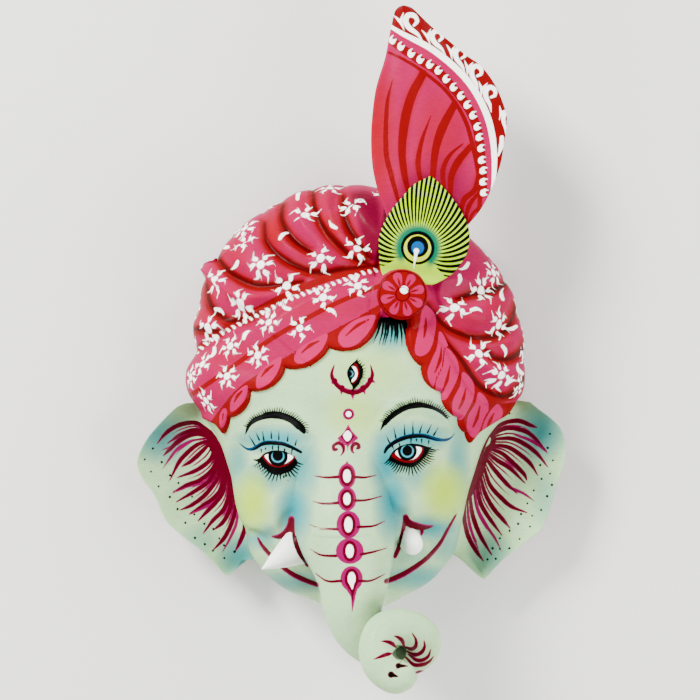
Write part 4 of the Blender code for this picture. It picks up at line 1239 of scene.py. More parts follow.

# The trunk: a tube of pulp that grows out of the face between the eyes, thins as it hangs and curls up
# once at its end. It is painted like the face and is one with it, with two nostrils and a fan of red
# strokes on the curl. The grey-green in the curl's hollow and beside the curl on the trunk is painted shade.

NOSTRILS = [
    # the middle, its radius and where its tail ends
    ((48.3, -315.7), 2.1, (57.4, -316.1)), ((41, -324.6), 2.5, (47.9, -326.6)),
]
CURL_STROKES = [
    [(45.7, -297.1), (42.1, -293.6), (37.1, -291.7), (31.4, -291.1)],
    [(54.3, -296.4), (52.1, -290.7), (48.6, -287.6), (44.3, -286)],
    [(55.7, -297.1), (61.4, -298.9), (65.4, -296.4), (66, -290), (62.1, -282.9)],
    [(57.1, -301.4), (65, -304.7), (71.7, -302.1), (74.6, -296.4), (74, -290)],
    [(58.6, -304.3), (66.4, -310), (73.6, -309.6), (78.6, -305.7), (80.7, -299.3)],
    [(55.7, -307.1), (63.6, -314.6), (72.9, -314.6), (79.3, -311.4), (83.6, -306.4)],
    [(66.4, -322.6), (70.7, -322.3), (75.7, -321.1)],
    [(41.4, -303.6), (37.1, -304.3), (31.4, -306.4), (23.6, -309.3)],
]
# Painted shade: the hollow in the middle of the curl, painted dark grey-green.
CURL_HOLLOW_SHADE = [
    (42.1, -304.3), (44.3, -300), (50.7, -296), (55.7, -297.9), (56.4, -302.9), (54.3, -308.6), (50, -310),
    (45.7, -308.6),
]
# Painted shadow: the shadow that the curl casts on the trunk just above it.
CURL_SHADOW = [
    (30, -257.1), (24.3, -267.1), (17.1, -275.7), (12.9, -282.9), (17.1, -287.1), (25.7, -278.6),
    (31.4, -267.1),
]
TRUNK_STEPS, TRUNK_SIDES, TRUNK_SPLIT = 26, 144, 8.4
ROOT_END, ROOT_SINK, ROOT_OVER_POCKET = 7.5, 4, 3


def rings_body(rings):
    """The faces of a closed body through rings of places, with a flat end at each side."""
    n, m = rings.shape[:2]
    grid = np.arange(n * m).reshape(n, m)
    after = np.roll(grid, -1, axis=1)
    sides = np.stack([grid[:-1], after[:-1], after[1:], grid[1:]], -1).reshape(-1, 4).tolist()
    return sides + [grid[0, ::-1].tolist(), grid[-1].tolist()]


def trunk_rings():
    """Rings round the trunk from its root to its tip, in squares, and how far along each ring is."""
    line = smooth_line(TRUNK, TRUNK_STEPS)
    nearer = 1 - line[:, 2] / VIEW_DISTANCE
    middle = np.stack([line[:, 0] * nearer, line[:, 1] * nearer, line[:, 2]], axis=-1)
    run = np.gradient(middle, axis=0)
    run /= np.linalg.norm(run, axis=1, keepdims=True)
    turn = np.linspace(0, math.tau, TRUNK_SIDES, endpoint=False)
    turn = turn + 0.5 * np.cos(turn)
    across, rings, facing = np.array([1.0, 0, 0]), [], []
    for place, way, radius in zip(middle, run, line[:, 3]):
        across = across - way * (across @ way)
        across /= np.linalg.norm(across)
        upward = np.cross(way, across)
        out = np.cos(turn)[:, None] * across + np.sin(turn)[:, None] * upward
        rings.append(place + max(radius, 0.4) * out)
        facing.append(out[:, 2])
    return np.array(rings), np.array(facing), np.arange(len(line)) / TRUNK_STEPS


rings, facing, along = trunk_rings()
nearer = 1 - rings[..., 2] / VIEW_DISTANCE
x, y = rings[..., 0] / nearer, rings[..., 1] / nearer
px, py = rings[..., 0] - CENTRE[0], rings[..., 1] - CENTRE[1]
part = np.hypot(px, py) / np.interp(np.arctan2(py, px), RADIUS_ANGLES, RADII, period=math.tau)
floor_depth = EQUATOR_DEPTH + FACE_DEPTH * np.sqrt(np.clip(1 - part**2, 0, 1)) ** 0.8 - ROOT_SINK
lowest = np.where(part < 0.99, np.maximum(floor_depth, trunk_pocket(x, y) + ROOT_OVER_POCKET), -1e9)
on_root = (along < ROOT_END)[:, None]
rings[..., 2] = np.where(on_root, np.maximum(rings[..., 2], lowest), rings[..., 2])
trunk_places = rings * SQUARE + ORIGIN
x, y = [values.ravel() for values in drawn(trunk_places)]
shown = (facing.ravel() > 0.02) & (np.repeat(along, TRUNK_SIDES) < TRUNK_SPLIT)
curled = (facing.ravel() > -0.35) & (np.repeat(along, TRUNK_SIDES) >= TRUNK_SPLIT)
coats = skin_paint(x, y)
for coat, bare in bare_coats(len(x), "gloss skin paint").items():
    coats[coat] = np.where(shown | coat.startswith("wash"), coats[coat], bare)
mark = {coat: np.full(len(x), BARE) for coat in ("magenta", "maroon", "black")}
for line in CURL_STROKES:
    brush(mark["maroon"], x, y, line, [0.5, 1.5, 1.7, 1.2, 0.25])
    brush(mark["magenta"], x, y, line, [1.0, 2.2, 2.2, 1.6, 0.5])
for centre, radius, tail in NOSTRILS:
    dab(mark["black"], x, y, centre, radius)
    brush(mark["black"], x, y, [centre, tail], [radius * 0.8, 0.3])
    dab(mark["maroon"], x, y, centre, radius + 0.9)
    brush(mark["maroon"], x, y, [centre, tail], [radius * 0.8 + 1.0, 0.7])
for coat, layer in mark.items():
    coats[coat] = np.where(curled, np.maximum(coats[coat], layer), coats[coat])
# Painted shade: the curl's hollow and the curl's shadow on the trunk go on as the grey-green wash.
hollow = np.full(len(x), BARE)
fill(hollow, x, y, CURL_HOLLOW_SHADE)
beside = np.full(len(x), BARE)
fill(beside, x, y, CURL_SHADOW)
on_curl = np.repeat(along, TRUNK_SIDES) >= TRUNK_SPLIT
coats["wash_grey_shade"] = np.where(on_curl, 0.95 * ramp(hollow, -0.5, 0.5), 0.7 * ramp(beside, -3.5, 3.5))
side_blue = 0.55 * ramp(1 - facing.ravel(), 0.55, 1.1) * ramp(-y, 60, 90) * ramp(y, -270, -200)
coats["wash_blue"] = np.maximum(coats["wash_blue"] * ramp(y, -235, -205), side_blue)
coats["wash_green"] *= y > -100
faces = rings_body(trunk_places)
trunk = painted_piece("mask_trunk", trunk_places.reshape(-1, 3), faces, coats, "gloss skin paint")
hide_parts("mask_shell")

# The ears: thin dished flaps of pulp and paper that grow out of the sides of the face, one with the mask.
# Each is painted with a fan of leaf strokes in dark red and magenta from its root, and a row of dots
# along its rim.

EAR_THICKNESS = 0.0036 / SQUARE
EAR_PIECE_STEPS = (272, 136)
EAR_ROOT_DEPTH, EAR_EDGE_DEPTH, EAR_DISH = 34, 47, 13
LEFT_EAR_ROOT = [(-126, -52), (-111, -90), (-99, -130), (-91, -165), (-87, -195), (-91, -207)]
LEFT_EAR_EDGE = [
    (-164, -53), (-176, -59), (-198, -82), (-208.4, -98), (-213.2, -113), (-207.5, -129), (-197, -143),
    (-188, -163), (-181, -174), (-165, -188), (-148, -201), (-135, -214), (-124, -225), (-116, -221),
    (-108, -212), (-102, -210),
]
RIGHT_EAR_ROOT = [(150, -48), (130, -90), (118, -130), (108, -165), (100, -195), (98, -203)]
RIGHT_EAR_EDGE = [
    (180, -52), (190, -60), (202, -69), (211, -79), (215.6, -94), (213.8, -114), (207, -134), (201, -155),
    (192, -178), (182, -187), (169, -197), (156, -207), (146, -217), (137, -227), (131, -228), (107, -206),
]
EAR_STROKES = {
    "mask_ear_left": {
        "root": [
            (-148.3, -74.2), (-138.3, -80.8), (-131.7, -90), (-125, -103.3), (-118.3, -121.7),
            (-111.7, -141.7), (-105, -161.7), (-105, -165), (-110, -161.7), (-115.8, -151.7),
            (-120, -138.3), (-125, -125), (-131.7, -115), (-136.7, -103.3), (-141.7, -90), (-146.7, -83.3),
        ],
        "maroon": [
            [(-140, -82.5), (-153.3, -73), (-170, -74.7), (-183.3, -82.5), (-192.5, -93.3)],
            [(-140, -85), (-153.3, -80), (-168.3, -84.2), (-182.5, -93.3)],
            [(-141.7, -86.7), (-155, -84.2), (-170, -90), (-180, -99.2), (-186.7, -105.8)],
            [(-140, -90), (-153.3, -95), (-165, -105), (-171.7, -113.3), (-180, -130)],
            [(-140, -93.3), (-148.3, -101.7), (-158.3, -110.8), (-168.3, -116.7)],
            [(-136.7, -100), (-140, -110), (-153.3, -120), (-172.5, -127.5)],
            [(-133.3, -108.3), (-138.3, -120), (-150, -130), (-163.3, -135), (-176.7, -141.7)],
            [(-131.7, -115), (-140, -130), (-153.3, -140), (-173.3, -151.7)],
            [(-128.3, -116.7), (-133.3, -130), (-145, -145), (-158.3, -155), (-170, -160)],
            [(-126.7, -120), (-129.2, -138.3), (-136.7, -148.3), (-146.7, -155), (-160, -163.3)],
            [(-123.3, -123.3), (-126.7, -141.7), (-135, -153.3), (-143.3, -161.7), (-151.7, -170.8)],
            [(-120, -131.7), (-121.7, -146.7), (-126.7, -160), (-136.7, -170), (-146.7, -183.3)],
            [(-118.3, -141.7), (-120, -158.3), (-126.7, -171.7), (-136.7, -180)],
            [(-113.3, -148.3), (-116.7, -168.3), (-125, -186.7), (-136.7, -200)],
            [(-106.7, -160), (-105, -176.7), (-109.2, -190), (-115, -201.7)],
        ],
        "magenta": [
            [(-143.3, -84.2), (-160, -85.8), (-175, -95), (-188.3, -100)],
            [(-145, -89.2), (-158.3, -90.8), (-171.7, -98.3), (-180, -108.3), (-187.5, -119.2)],
            [(-153.3, -95), (-165, -105.8), (-172.5, -115.8), (-181.3, -131.7)],
            [(-138.3, -120), (-150, -131.7), (-163.3, -136.7), (-178.3, -143.7)],
            [(-129.2, -138.3), (-135.8, -150.8), (-145.8, -157.5), (-161.7, -165.3)],
            [(-111.7, -151.7), (-113.3, -171.7), (-120, -188.3), (-128.3, -203.3)],
        ],
    },
    "mask_ear_right": {
        "root": [
            (135.8, -85), (145, -78.3), (140, -86.7), (135, -98.3), (131.7, -111.7), (128.3, -125),
            (123.3, -136.7), (118.3, -148.3), (112.5, -156.7), (111.7, -151.7), (117.5, -140),
            (121.7, -128.3), (125, -115), (128.3, -100),
        ],
        "maroon": [
            [(138.3, -83.3), (153.3, -73.3), (168.3, -70.8), (180, -75), (186.7, -77.5)],
            [(141.7, -85), (156.7, -78.3), (171.7, -80), (183.3, -86.7), (196.7, -101.7)],
            [(143.3, -89.2), (160, -88.3), (173.3, -93.3), (186.7, -103.3), (197.5, -116.7)],
            [(141.7, -95), (156.7, -96.7), (168.3, -103.3), (180, -113.3), (187.5, -125)],
            [(138.3, -98.3), (151.7, -103.3), (161.7, -111.7), (173.3, -123.3), (176.7, -130)],
            [(136.7, -101.7), (146.7, -110), (160, -118.3), (175, -133.3)],
            [(135, -106.7), (143.3, -118.3), (153.3, -130), (166.7, -143.3)],
            [(133.3, -115), (140, -135), (151.7, -148.3), (161.7, -156.7), (176.7, -162.5)],
            [(130, -125), (135, -143.3), (143.3, -158.3), (153.3, -170), (160, -178.3)],
            [(126.7, -131.7), (130, -151.7), (138.3, -166.7), (151.7, -185)],
            [(120, -145), (122.5, -165), (130, -185), (141.7, -205)],
            [(115, -151.7), (114.2, -168.3), (118.3, -186.7), (126.7, -201.7), (133.3, -210.8)],
            [(115, -153.3), (105, -166.7), (100, -176.7)],
        ],
        "magenta": [
            [(143.3, -116.7), (156.7, -135), (173.3, -143.3), (185, -151.7)],
            [(125, -131.7), (126.7, -155), (135, -173.3), (145, -188.3), (151.7, -201.7)],
            [(117.5, -151.7), (118.7, -170), (122.7, -185), (129, -200.8)],
            [(165, -85), (176.7, -88.7), (188.3, -95), (198.3, -104.3)],
        ],
    },
}
EAR_DOTS = {
    "mask_ear_left": [
        (-197, -98.4), (-205.1, -109.3), (-188.1, -112.1), (-199, -121.6), (-179.8, -125.2),
        (-191.3, -136.3), (-171.5, -132.9), (-180.1, -146.9), (-157.9, -146.5), (-172.4, -158.9),
        (-155.6, -164.4), (-164.5, -172.7), (-145.6, -173.7), (-136.7, -178.6), (-154.9, -187.7),
        (-130.7, -188.3), (-145.1, -194.1), (-125.9, -195.2), (-137.1, -200.7), (-115.4, -201.6),
        (-125.6, -207.9),
    ],
    "mask_ear_right": [
        (159.3, -63.3), (199.9, -83.8), (197.6, -97.7), (202.8, -110.4), (190.1, -115), (199.9, -123.5),
        (191.4, -128.9), (201.8, -134.8), (183.7, -140.4), (197, -146.1), (177.2, -153.3), (191, -159.9),
        (170.9, -164), (182, -165.6), (168, -173.7), (179.9, -176.5), (159.5, -180.6), (149.8, -188.2),
        (169.5, -188.9), (142.5, -198.2), (149.8, -198.8), (159.3, -198.2), (137.4, -209.3),
        (145.7, -208.6),
    ],
}
EAR_BLUE = {
    "mask_ear_left": [
        ((-188, -88), (34, 30), 0.85), ((-110, -206), (26, 26), 0.9), ((-150, -190), (22, 18), 0.4),
    ],
    "mask_ear_right": [
        ((190, -82), (30, 34), 0.9), ((140, -204), (26, 26), 0.6), ((196, -150), (16, 34), 0.4),
    ],
}


def ear_depth(over):
    """The ear is a shallow dish whose outer edge comes forward."""
    rise = (EAR_EDGE_DEPTH - EAR_ROOT_DEPTH) * over**2
    return EAR_ROOT_DEPTH + rise - EAR_DISH * np.sin(math.pi * over) * 0.8


def between(left, right, steps):
    """Points in even steps from one line to another, and how far up and how far over each is."""
    up, over = np.linspace(0, 1, len(left))[:, None], np.linspace(0, 1, steps + 1)[None]
    x = left[:, :1] + (right[:, :1] - left[:, :1]) * over
    y = left[:, 1:] + (right[:, 1:] - left[:, 1:]) * over
    return x, y, up, over


def thin_plate(x, y, depth, thickness, rim):
    """The fine front and coarse back of a thin plate of pulp, its front edge rolled a little at its rim."""
    nearer = 1 - depth / VIEW_DISTANCE
    middle = np.stack([x * nearer, y * nearer, depth], axis=-1)
    gap, _ = from_line(x, y, rim, 4)
    roll = 1 - np.clip(gap / 1.6, 0, 1)
    front, back = middle.copy(), middle[::INNER_STEP, ::INNER_STEP].copy()
    front[..., 2] += thickness * (0.5 - 0.32 * (1 - np.sqrt(1 - roll**2)))
    back[..., 2] -= thickness / 2
    return front * SQUARE + ORIGIN, back * SQUARE + ORIGIN


def ear_start(root, edge, steps):
    """Where each line across the ear leaves the head: its root, moved to just inside the head's side."""
    a, b = even_points(root, steps + 1), even_points(edge, steps + 1)
    over = np.linspace(0, 1, 161)[None]
    nearer = 1 - ear_depth(over) / VIEW_DISTANCE
    px = (a[:, :1] + (b[:, :1] - a[:, :1]) * over) * nearer - CENTRE[0]
    py = (a[:, 1:] + (b[:, 1:] - a[:, 1:]) * over) * nearer - CENTRE[1]
    radius = np.interp(np.arctan2(py, px), RADIUS_ANGLES, RADII, period=math.tau)
    within = np.hypot(px, py) < radius - 4
    leaves = np.where(within.any(1), (within * over).max(1), 0)
    soft = np.hanning(25) / np.hanning(25).sum()
    leaves = np.convolve(np.pad(leaves, 12, mode="edge"), soft, mode="valid")
    return a + (b - a) * leaves[:, None], b


def ear_paint(name, x, y):
    """Every coat on one ear's mint ground: a blue wash, the fan of leaf strokes and the dots."""
    coats = bare_coats(len(x), "gloss skin paint")
    for centre, half_size, strength in EAR_BLUE[name]:
        coats["wash_blue"] = np.maximum(coats["wash_blue"], strength * bump(x, y, centre, half_size) ** 0.6)
    strokes = EAR_STROKES[name]
    fill(coats["maroon"], x, y, strokes["root"])
    fill(coats["magenta"], x, y, strokes["root"])
    lines = strokes["maroon"][:-1]
    for line in strokes["maroon"]:
        brush(coats["maroon"], x, y, line, [1.3, 2.0, 2.1, 1.5, 0.2])
        brush(coats["magenta"], x, y, line, [1.5, 2.3, 2.6, 2.3, 0.7])
    for one, two in zip(lines, lines[1:]):
        halfway = (even_points(one, 9) + even_points(two, 9)) / 2
        brush(coats["maroon"], x, y, halfway[:4], [0.7, 0.6, 0.1])
        brush(coats["magenta"], x, y, halfway[:7], [1.0, 1.0, 0.9, 0.15])
    brush(coats["maroon"], x, y, [line[0] for line in lines], [2.8, 2.8, 2.6, 2.0])
    for line in strokes["magenta"]:
        brush(coats["magenta"], x, y, line, [0.8, 1.6, 1.8, 1.4, 0.25])
    for k, centre in enumerate(EAR_DOTS[name]):
        dab(coats["black"], x, y, centre, 1.25 + 0.15 * math.sin(k * 3.7))
    return coats


for name, root, edge in (
    ("mask_ear_left", LEFT_EAR_ROOT, LEFT_EAR_EDGE), ("mask_ear_right", RIGHT_EAR_ROOT, RIGHT_EAR_EDGE)
):
    start, end = ear_start(root, edge, EAR_PIECE_STEPS[0])
    x, y, up, over = between(start, end, EAR_PIECE_STEPS[1])
    whole_root = even_points(root, EAR_PIECE_STEPS[0] + 1)
    from_root = np.hypot(x - whole_root[:, :1], y - whole_root[:, 1:])
    depth = ear_depth(from_root / np.linalg.norm(end - whole_root, axis=1)[:, None])
    front, back = thin_plate(x, y, depth, EAR_THICKNESS, end)
    coats = ear_paint(name, x.ravel(), y.ravel())
    ear = skin_of_grids(name, front, back, coats, "gloss skin paint", "raw paper pulp")
    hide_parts("mask_shell")

# The crest: a tall leaf of pulp with shallow pleats, glued to the turban's knot by its foot and leaning
# back. Pink, with red pleats, a white band and a border of white scrolls down its right side. The purple
# patch round the feather is the feather's painted shadow on the crest.

CREST_LEFT = [
    (53, 76), (42, 112), (36, 136), (29, 155), (23, 180), (21, 206), (22, 232), (26, 262), (35, 292),
    (40, 318), (44, 336), (45.7, 340), (49, 343.3), (53, 344.8),
]
CREST_RIGHT = [
    (80, 76), (103, 110), (118, 125), (131, 141), (141, 160), (150, 184), (154, 206), (157, 230),
    (153, 247), (144, 267), (131, 284), (116, 295), (98, 310), (81, 324), (65, 339.6), (60, 343.2),
    (54, 344.8),
]
CREST_FOOT_DEPTH, CREST_BEND_DEPTH, CREST_TIP_DEPTH = 119, 127.5, 108
CREST_THICKNESS = 0.0030 / SQUARE
CREST_STEPS = (304, 200)
CREST_BAND = [
    (38, 325), (52, 316.6), (63.6, 310.7), (77.9, 303.4), (92.1, 293.4), (106.4, 281.2), (119.3, 267),
    (129.3, 251.4), (137.1, 234.3), (141.4, 218.6), (143.9, 201.4), (144.4, 184), (143.2, 166), (140, 152),
]
CREST_COMMAS = [
    (42.5, 308.8), (50.8, 302.5), (61, 295.5), (70, 289.5), (79.5, 284.5), (88, 278.5), (95.8, 270),
    (103.2, 261.8), (110.5, 253.2), (116.8, 244.2), (122.5, 233.8), (126.8, 222.5), (128.8, 212),
    (130.5, 201), (131.2, 189.2), (132.5, 178.8), (132.5, 167.5), (133.2, 156.8),
]
CREST_RED_LINE = [
    (38.8, 297.5), (52.5, 291.2), (72.5, 278.8), (97.5, 257.5), (115, 230), (123.8, 200), (128.8, 175),
    (130, 152.5), (128.8, 137.5),
]
CREST_PLEATS = [
    # the line, then its half widths from top to foot
    ([(42.5, 270), (37, 245), (36, 200), (41.2, 175), (48, 150)], [0.3, 2.0, 2.6, 2.6, 1.8]),
    (
        [(73, 276.2), (62, 255), (55, 230), (52, 200), (54.5, 175), (58, 160)],
        [4.0, 4.6, 4.8, 3.9, 3.2, 2.2],
    ),
    ([(81, 234.5), (72, 210), (68, 187.5), (70.5, 170)], [0.3, 2.0, 2.8, 2.2]),
    ([(104.5, 245.5), (92.5, 222.5), (85.5, 200), (82.5, 170)], [3.6, 4.6, 3.8, 2.8]),
    ([(113, 206.2), (100, 195), (93, 180), (93.8, 160)], [0.5, 2.0, 2.6, 2.2]),
    ([(120, 203), (107.5, 187.5), (101.2, 172.5), (100.5, 155)], [3.0, 3.8, 3.2, 2.2]),
    ([(128, 177.5), (124.5, 160), (113.8, 150), (110.5, 132.5)], [1.2, 2.6, 2.8, 1.6]),
    ([(128.8, 157.5), (118.8, 143.8), (115.5, 127.5)], [1.6, 2.4, 1.2]),
    ([(128, 142), (121.2, 133.8), (118.2, 122.5)], [1.4, 1.8, 0.8]),
]
CREST_SCROLLS = [
    # the tail's tip, how far the scroll is turned, and its size
    ((72.5, 309.4), 5, 1.12), ((95.6, 295), 0, 1.0), ((115, 276.9), -11, 0.98), ((128.1, 258.7), -20, 0.98),
    ((141.3, 237.5), -22, 0.98), ((155.6, 215.6), -32, 0.84),
]


def crest_depth(up, over):
    """The crest leans back towards its tip and is a little round across, with shallow pleats."""
    lean = CREST_BEND_DEPTH + (CREST_TIP_DEPTH - CREST_BEND_DEPTH) * up
    lean = lean + (CREST_FOOT_DEPTH - CREST_BEND_DEPTH) * (1 - ramp(up, 0, 0.09))
    pleats = 0.3 * np.cos(5 * math.tau * over) * ramp(up, 0, 0.3)
    return lean - 6 * (2 * over - 1) ** 2 * ramp(up, 0.2, 0.5) + pleats


def scroll(layer, x, y, tail, turn, size):
    """A white scroll from its pointed tail: a thick curl, with a forked leaf at its back."""
    curl = [
        (0, 0), (-4.4, 6.6), (-10.8, 12.4), (-13.6, 18.6), (-10.8, 23.6), (-5.4, 22.8), (-3.2, 17.8),
        (-6.4, 14.2),
    ]
    widths = [size * w for w in (0.2, 1.6, 2.3, 2.5, 2.3, 2.1, 1.6, 1.1)]
    brush(layer, x, y, stroke_points(curl, tail, turn, size), widths)
    foot, fork, left_tip, right_tip = stroke_points(
        [(-15.4, 10.6), (-18, 18.4), (-24, 25), (-14.8, 26.4)], tail, turn, size
    )
    brush(layer, x, y, [foot, fork], [0.1, 1.5 * size])
    for tip in (left_tip, right_tip):
        brush(layer, x, y, [fork, tip], [1.6 * size, 0.2])


def crest_comma(layer, x, y, centre, turn):
    """A round dab of white with a long horn and a short one."""
    middle, *horns = stroke_points(
        [(0, -0.4), (-1.6, 0), (-1.8, 3.2), (0.4, 6.2), (1.6, 0), (2.8, 1.8), (3.8, 2.6)], centre, turn, 1.0
    )
    dab(layer, x, y, middle, 2.7)
    brush(layer, x, y, horns[:3], [1.9, 1.2, 0.2])
    brush(layer, x, y, horns[3:], [1.4, 0.8, 0.2])


# The purple wash is painted shadow: the feather's shadow on the crest.
CREST_COATS = [
    ("wash_orange", "wash", "#840007"), ("wash_purple_shadow", "wash", "#5D0427"), ("red", "edge", "#640004"),
    ("white", "edge", "#FFFFF0"),
]
gloss_paint("gloss crest paint", "#8E063D", CREST_COATS, 0.34, 0.0006)
sides = [even_points(line, CREST_STEPS[0] + 1) for line in (CREST_LEFT, CREST_RIGHT)]
rim = np.vstack([even_points(CREST_LEFT, 120), even_points(CREST_RIGHT, 120)[::-1]])
x, y, up, over = between(*sides, CREST_STEPS[1])
front, back = thin_plate(x, y, crest_depth(up, over), CREST_THICKNESS, rim)
x, y = [values.ravel() for values in drawn(front)]
coats = bare_coats(len(x), "gloss crest paint")
coats["wash_orange"] = np.maximum(
    0.85 * bump(x, y, (24, 215), (26, 90)) ** 0.6, 0.55 * bump(x, y, (90, 215), (30, 50)) ** 0.6
)
# Painted shadow: the feather's shadow on the crest, a purple patch behind and just above it.
coats["wash_purple_shadow"] = 0.8 * bump(x, y, (88, 150), (46, 52)) ** 0.7
for line, widths in CREST_PLEATS:
    brush(coats["red"], x, y, line, widths)
    glow = np.full(len(x), BARE)
    brush(glow, x, y, line, widths)
    coats["wash_orange"] = np.maximum(coats["wash_orange"], 0.5 * ramp(glow, -6, 1))
brush(coats["red"], x, y, CREST_RED_LINE, [1.2, 1.7, 1.9, 2.3, 2.6, 2.2])
outside, side = from_line(x, y, smooth_line(CREST_BAND, 5), 60)
coats["red"] = np.maximum(coats["red"], np.where((side > 0) & (outside < 55), np.minimum(outside, 9), BARE))
brush(coats["white"], x, y, CREST_BAND, [1.7, 2.4, 2.9, 3.1, 3.2, 3.2, 3.2, 3.1, 2.8, 2.0, 0.8])
brush(coats["red"], x, y, CREST_COMMAS, [4.0, 4.6, 4.6, 4.4, 4.4])
for k, centre in enumerate(CREST_COMMAS):
    crest_comma(coats["white"], x, y, centre, -4 - 3.2 * k)
brush(coats["white"], x, y, [(151.9, 212.5), (151.4, 204), (148.1, 193.7)], [2.0, 2.5, 0.4])
for tail, turn, size in CREST_SCROLLS:
    scroll(coats["white"], x, y, tail, turn, size)
crest = skin_of_grids("crest_leaf", front, back, coats, "gloss crest paint", "raw paper pulp")
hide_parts("crest")

# The feather: a small painted leaf like a peacock's feather, glued over the crest's foot behind the
# brooch. Yellow, with a ringed eye in a green halo and black barbs that fan out to its edge.

FEATHER_LEFT = [
    (44, 62), (34, 72), (30, 84), (29, 98), (29, 112), (33, 125), (42, 141), (53, 154), (63, 165),
    (79, 173.5),
]
FEATHER_RIGHT = [
    (72, 66), (85, 66), (102, 76), (110, 85), (117, 97), (119.5, 110), (119, 120), (115, 132), (106, 147),
    (96, 160), (87, 169), (81, 174),
]
FEATHER_THICKNESS = 0.0020 / SQUARE
FEATHER_STEPS = (224, 184)
FEATHER_BEND_DEPTH, FEATHER_LEAN, FEATHER_FOOT_DROP, FEATHER_HOLLOW = 137, 6, 10.5, 3
FEATHER_EYE = (67.7, 102.2)
PIN_HEAD, PIN_TIP = (66.4, 99.1), (63.6, 81.6)
FEATHER_AXIS = 80.6
BARBS_APART, BARBS_WIDEN, BARBS_END = 5.6, 150, 128
EYE_EDGE = 19
EYE_DISCS = [
    # coat, how far it is off the eye's middle, and its radius
    ("disc_black", (0, 0), 16.8), ("disc_yellow", (-0.3, -0.5), 13.6), ("disc_dark", (0, 1.2), 10.8),
    ("blue", (0, 0), 6.5),
]


def feather_depth(up, over):
    """The feather is a flat leaf in front of the crest, a little hollow towards its edges."""
    foot = FEATHER_FOOT_DROP * (1 - ramp(up, 0.15, 0.4))
    lean = FEATHER_BEND_DEPTH - FEATHER_LEAN * up - foot
    return lean - FEATHER_HOLLOW * (2 * over - 1) ** 2 * np.sin(math.pi * up)


FEATHER_COATS = [
    ("barb", "edge", "#010201"), ("teal", "wash", "#00573D"), ("disc_black", "edge", "#010101"),
    ("disc_yellow", "edge", "#AEBC05"), ("disc_dark", "edge", "#010101"), ("blue", "edge", "#004479"),
    ("white", "edge", "#FFFFFA"),
]
gloss_paint("gloss feather paint", "#9CC400", FEATHER_COATS, 0.34, 0.0003)
sides = [even_points(line, FEATHER_STEPS[0] + 1) for line in (FEATHER_LEFT, FEATHER_RIGHT)]
rim = np.vstack([even_points(FEATHER_LEFT, 90), even_points(FEATHER_RIGHT, 90)[::-1]])
x, y, up, over = between(*sides, FEATHER_STEPS[1])
front, back = thin_plate(x, y, feather_depth(up, over), FEATHER_THICKNESS, rim)
x, y = [values.ravel() for values in drawn(front)]
coats = bare_coats(len(x), "gloss feather paint")
ex, ey = FEATHER_EYE
far = np.hypot(x - ex, y - ey)
turn = (np.degrees(np.arctan2(y - ey, x - ex)) - FEATHER_AXIS + 180) % 360 - 180
curl = turn / (1 - 0.42 * np.clip((far - 18) / 60, 0, 1))
apart = BARBS_APART * (1 + np.abs(curl) / BARBS_WIDEN)
count = BARBS_WIDEN * np.log1p(np.abs(curl) / BARBS_WIDEN) / BARBS_APART
spacing = np.radians(apart) * far
coats["barb"] = spacing * (0.3 * ramp(far, 15, 30) - np.abs(count % 1 - 0.5))
barbed = (np.abs(curl) < BARBS_WIDEN) & (np.abs(turn) < BARBS_END) & (far > EYE_EDGE)
coats["barb"] = np.where(barbed, coats["barb"], BARE)
coats["teal"] = (1 - ramp(far, EYE_EDGE, EYE_EDGE + 8)) * ramp(140 - np.abs(turn), -14, 14) * (far > 10)
for coat, (over, up), radius in EYE_DISCS:
    dab(coats[coat], x, y, (ex + over, ey + up), radius)
dab(coats["white"], x, y, PIN_HEAD, 2.6)
brush(coats["white"], x, y, [PIN_HEAD, PIN_TIP], [2.0, 0.3])
feather = skin_of_grids("feather_leaf", front, back, coats, "gloss feather paint", "raw paper pulp")
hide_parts("feather")

# The brooch: a low round button turned from pulp, painted red with eight pink petals and a white dot. It is
# glued by its flat back to the knot at the turban's front.

BROOCH_RADIUS, BROOCH_THICKNESS, BROOCH_ROUND = 0.0168, 0.0052, 0.0020
BROOCH_PLACE, BROOCH_FACES, BROOCH_PETALS = (52, 55, 132.5), (0.05, 0.08, 1), 8


def turned_places(profile, rings, place, towards):
    """A ball whose rings are moved on to a turned profile of radius and height, stood in a direction."""
    bpy.ops.mesh.primitive_uv_sphere_add(segments=128, ring_count=rings, radius=1)
    ball = bpy.context.object
    mesh = ball.data
    spots = np.empty(len(mesh.vertices) * 3, np.float32)
    mesh.vertices.foreach_get("co", spots)
    spots = spots.reshape(-1, 3).astype(float)
    faces = [list(face.vertices) for face in mesh.polygons]
    bpy.data.objects.remove(ball)
    along = np.arccos(np.clip(-spots[:, 2], -1, 1)) / math.pi
    line = np.array(profile, float)
    run = np.concatenate([[0], np.cumsum(np.linalg.norm(np.diff(line, axis=0), axis=1))])
    run /= run[-1]
    radius, height = np.interp(along, run, line[:, 0]), np.interp(along, run, line[:, 1])
    turn = np.arctan2(spots[:, 1], spots[:, 0])
    radius = np.where((along < 1e-4) | (along > 1 - 1e-4), 0, radius)
    way = np.array(towards, float) / np.linalg.norm(towards)
    across = np.cross((0, 1, 0), way)
    across /= np.linalg.norm(across)
    upward = np.cross(way, across)
    flat = radius[:, None] * (np.cos(turn)[:, None] * across + np.sin(turn)[:, None] * upward)
    stand = placed(*[np.float64(value) for value in place])
    return stand + flat + height[:, None] * way, faces, radius, turn, along


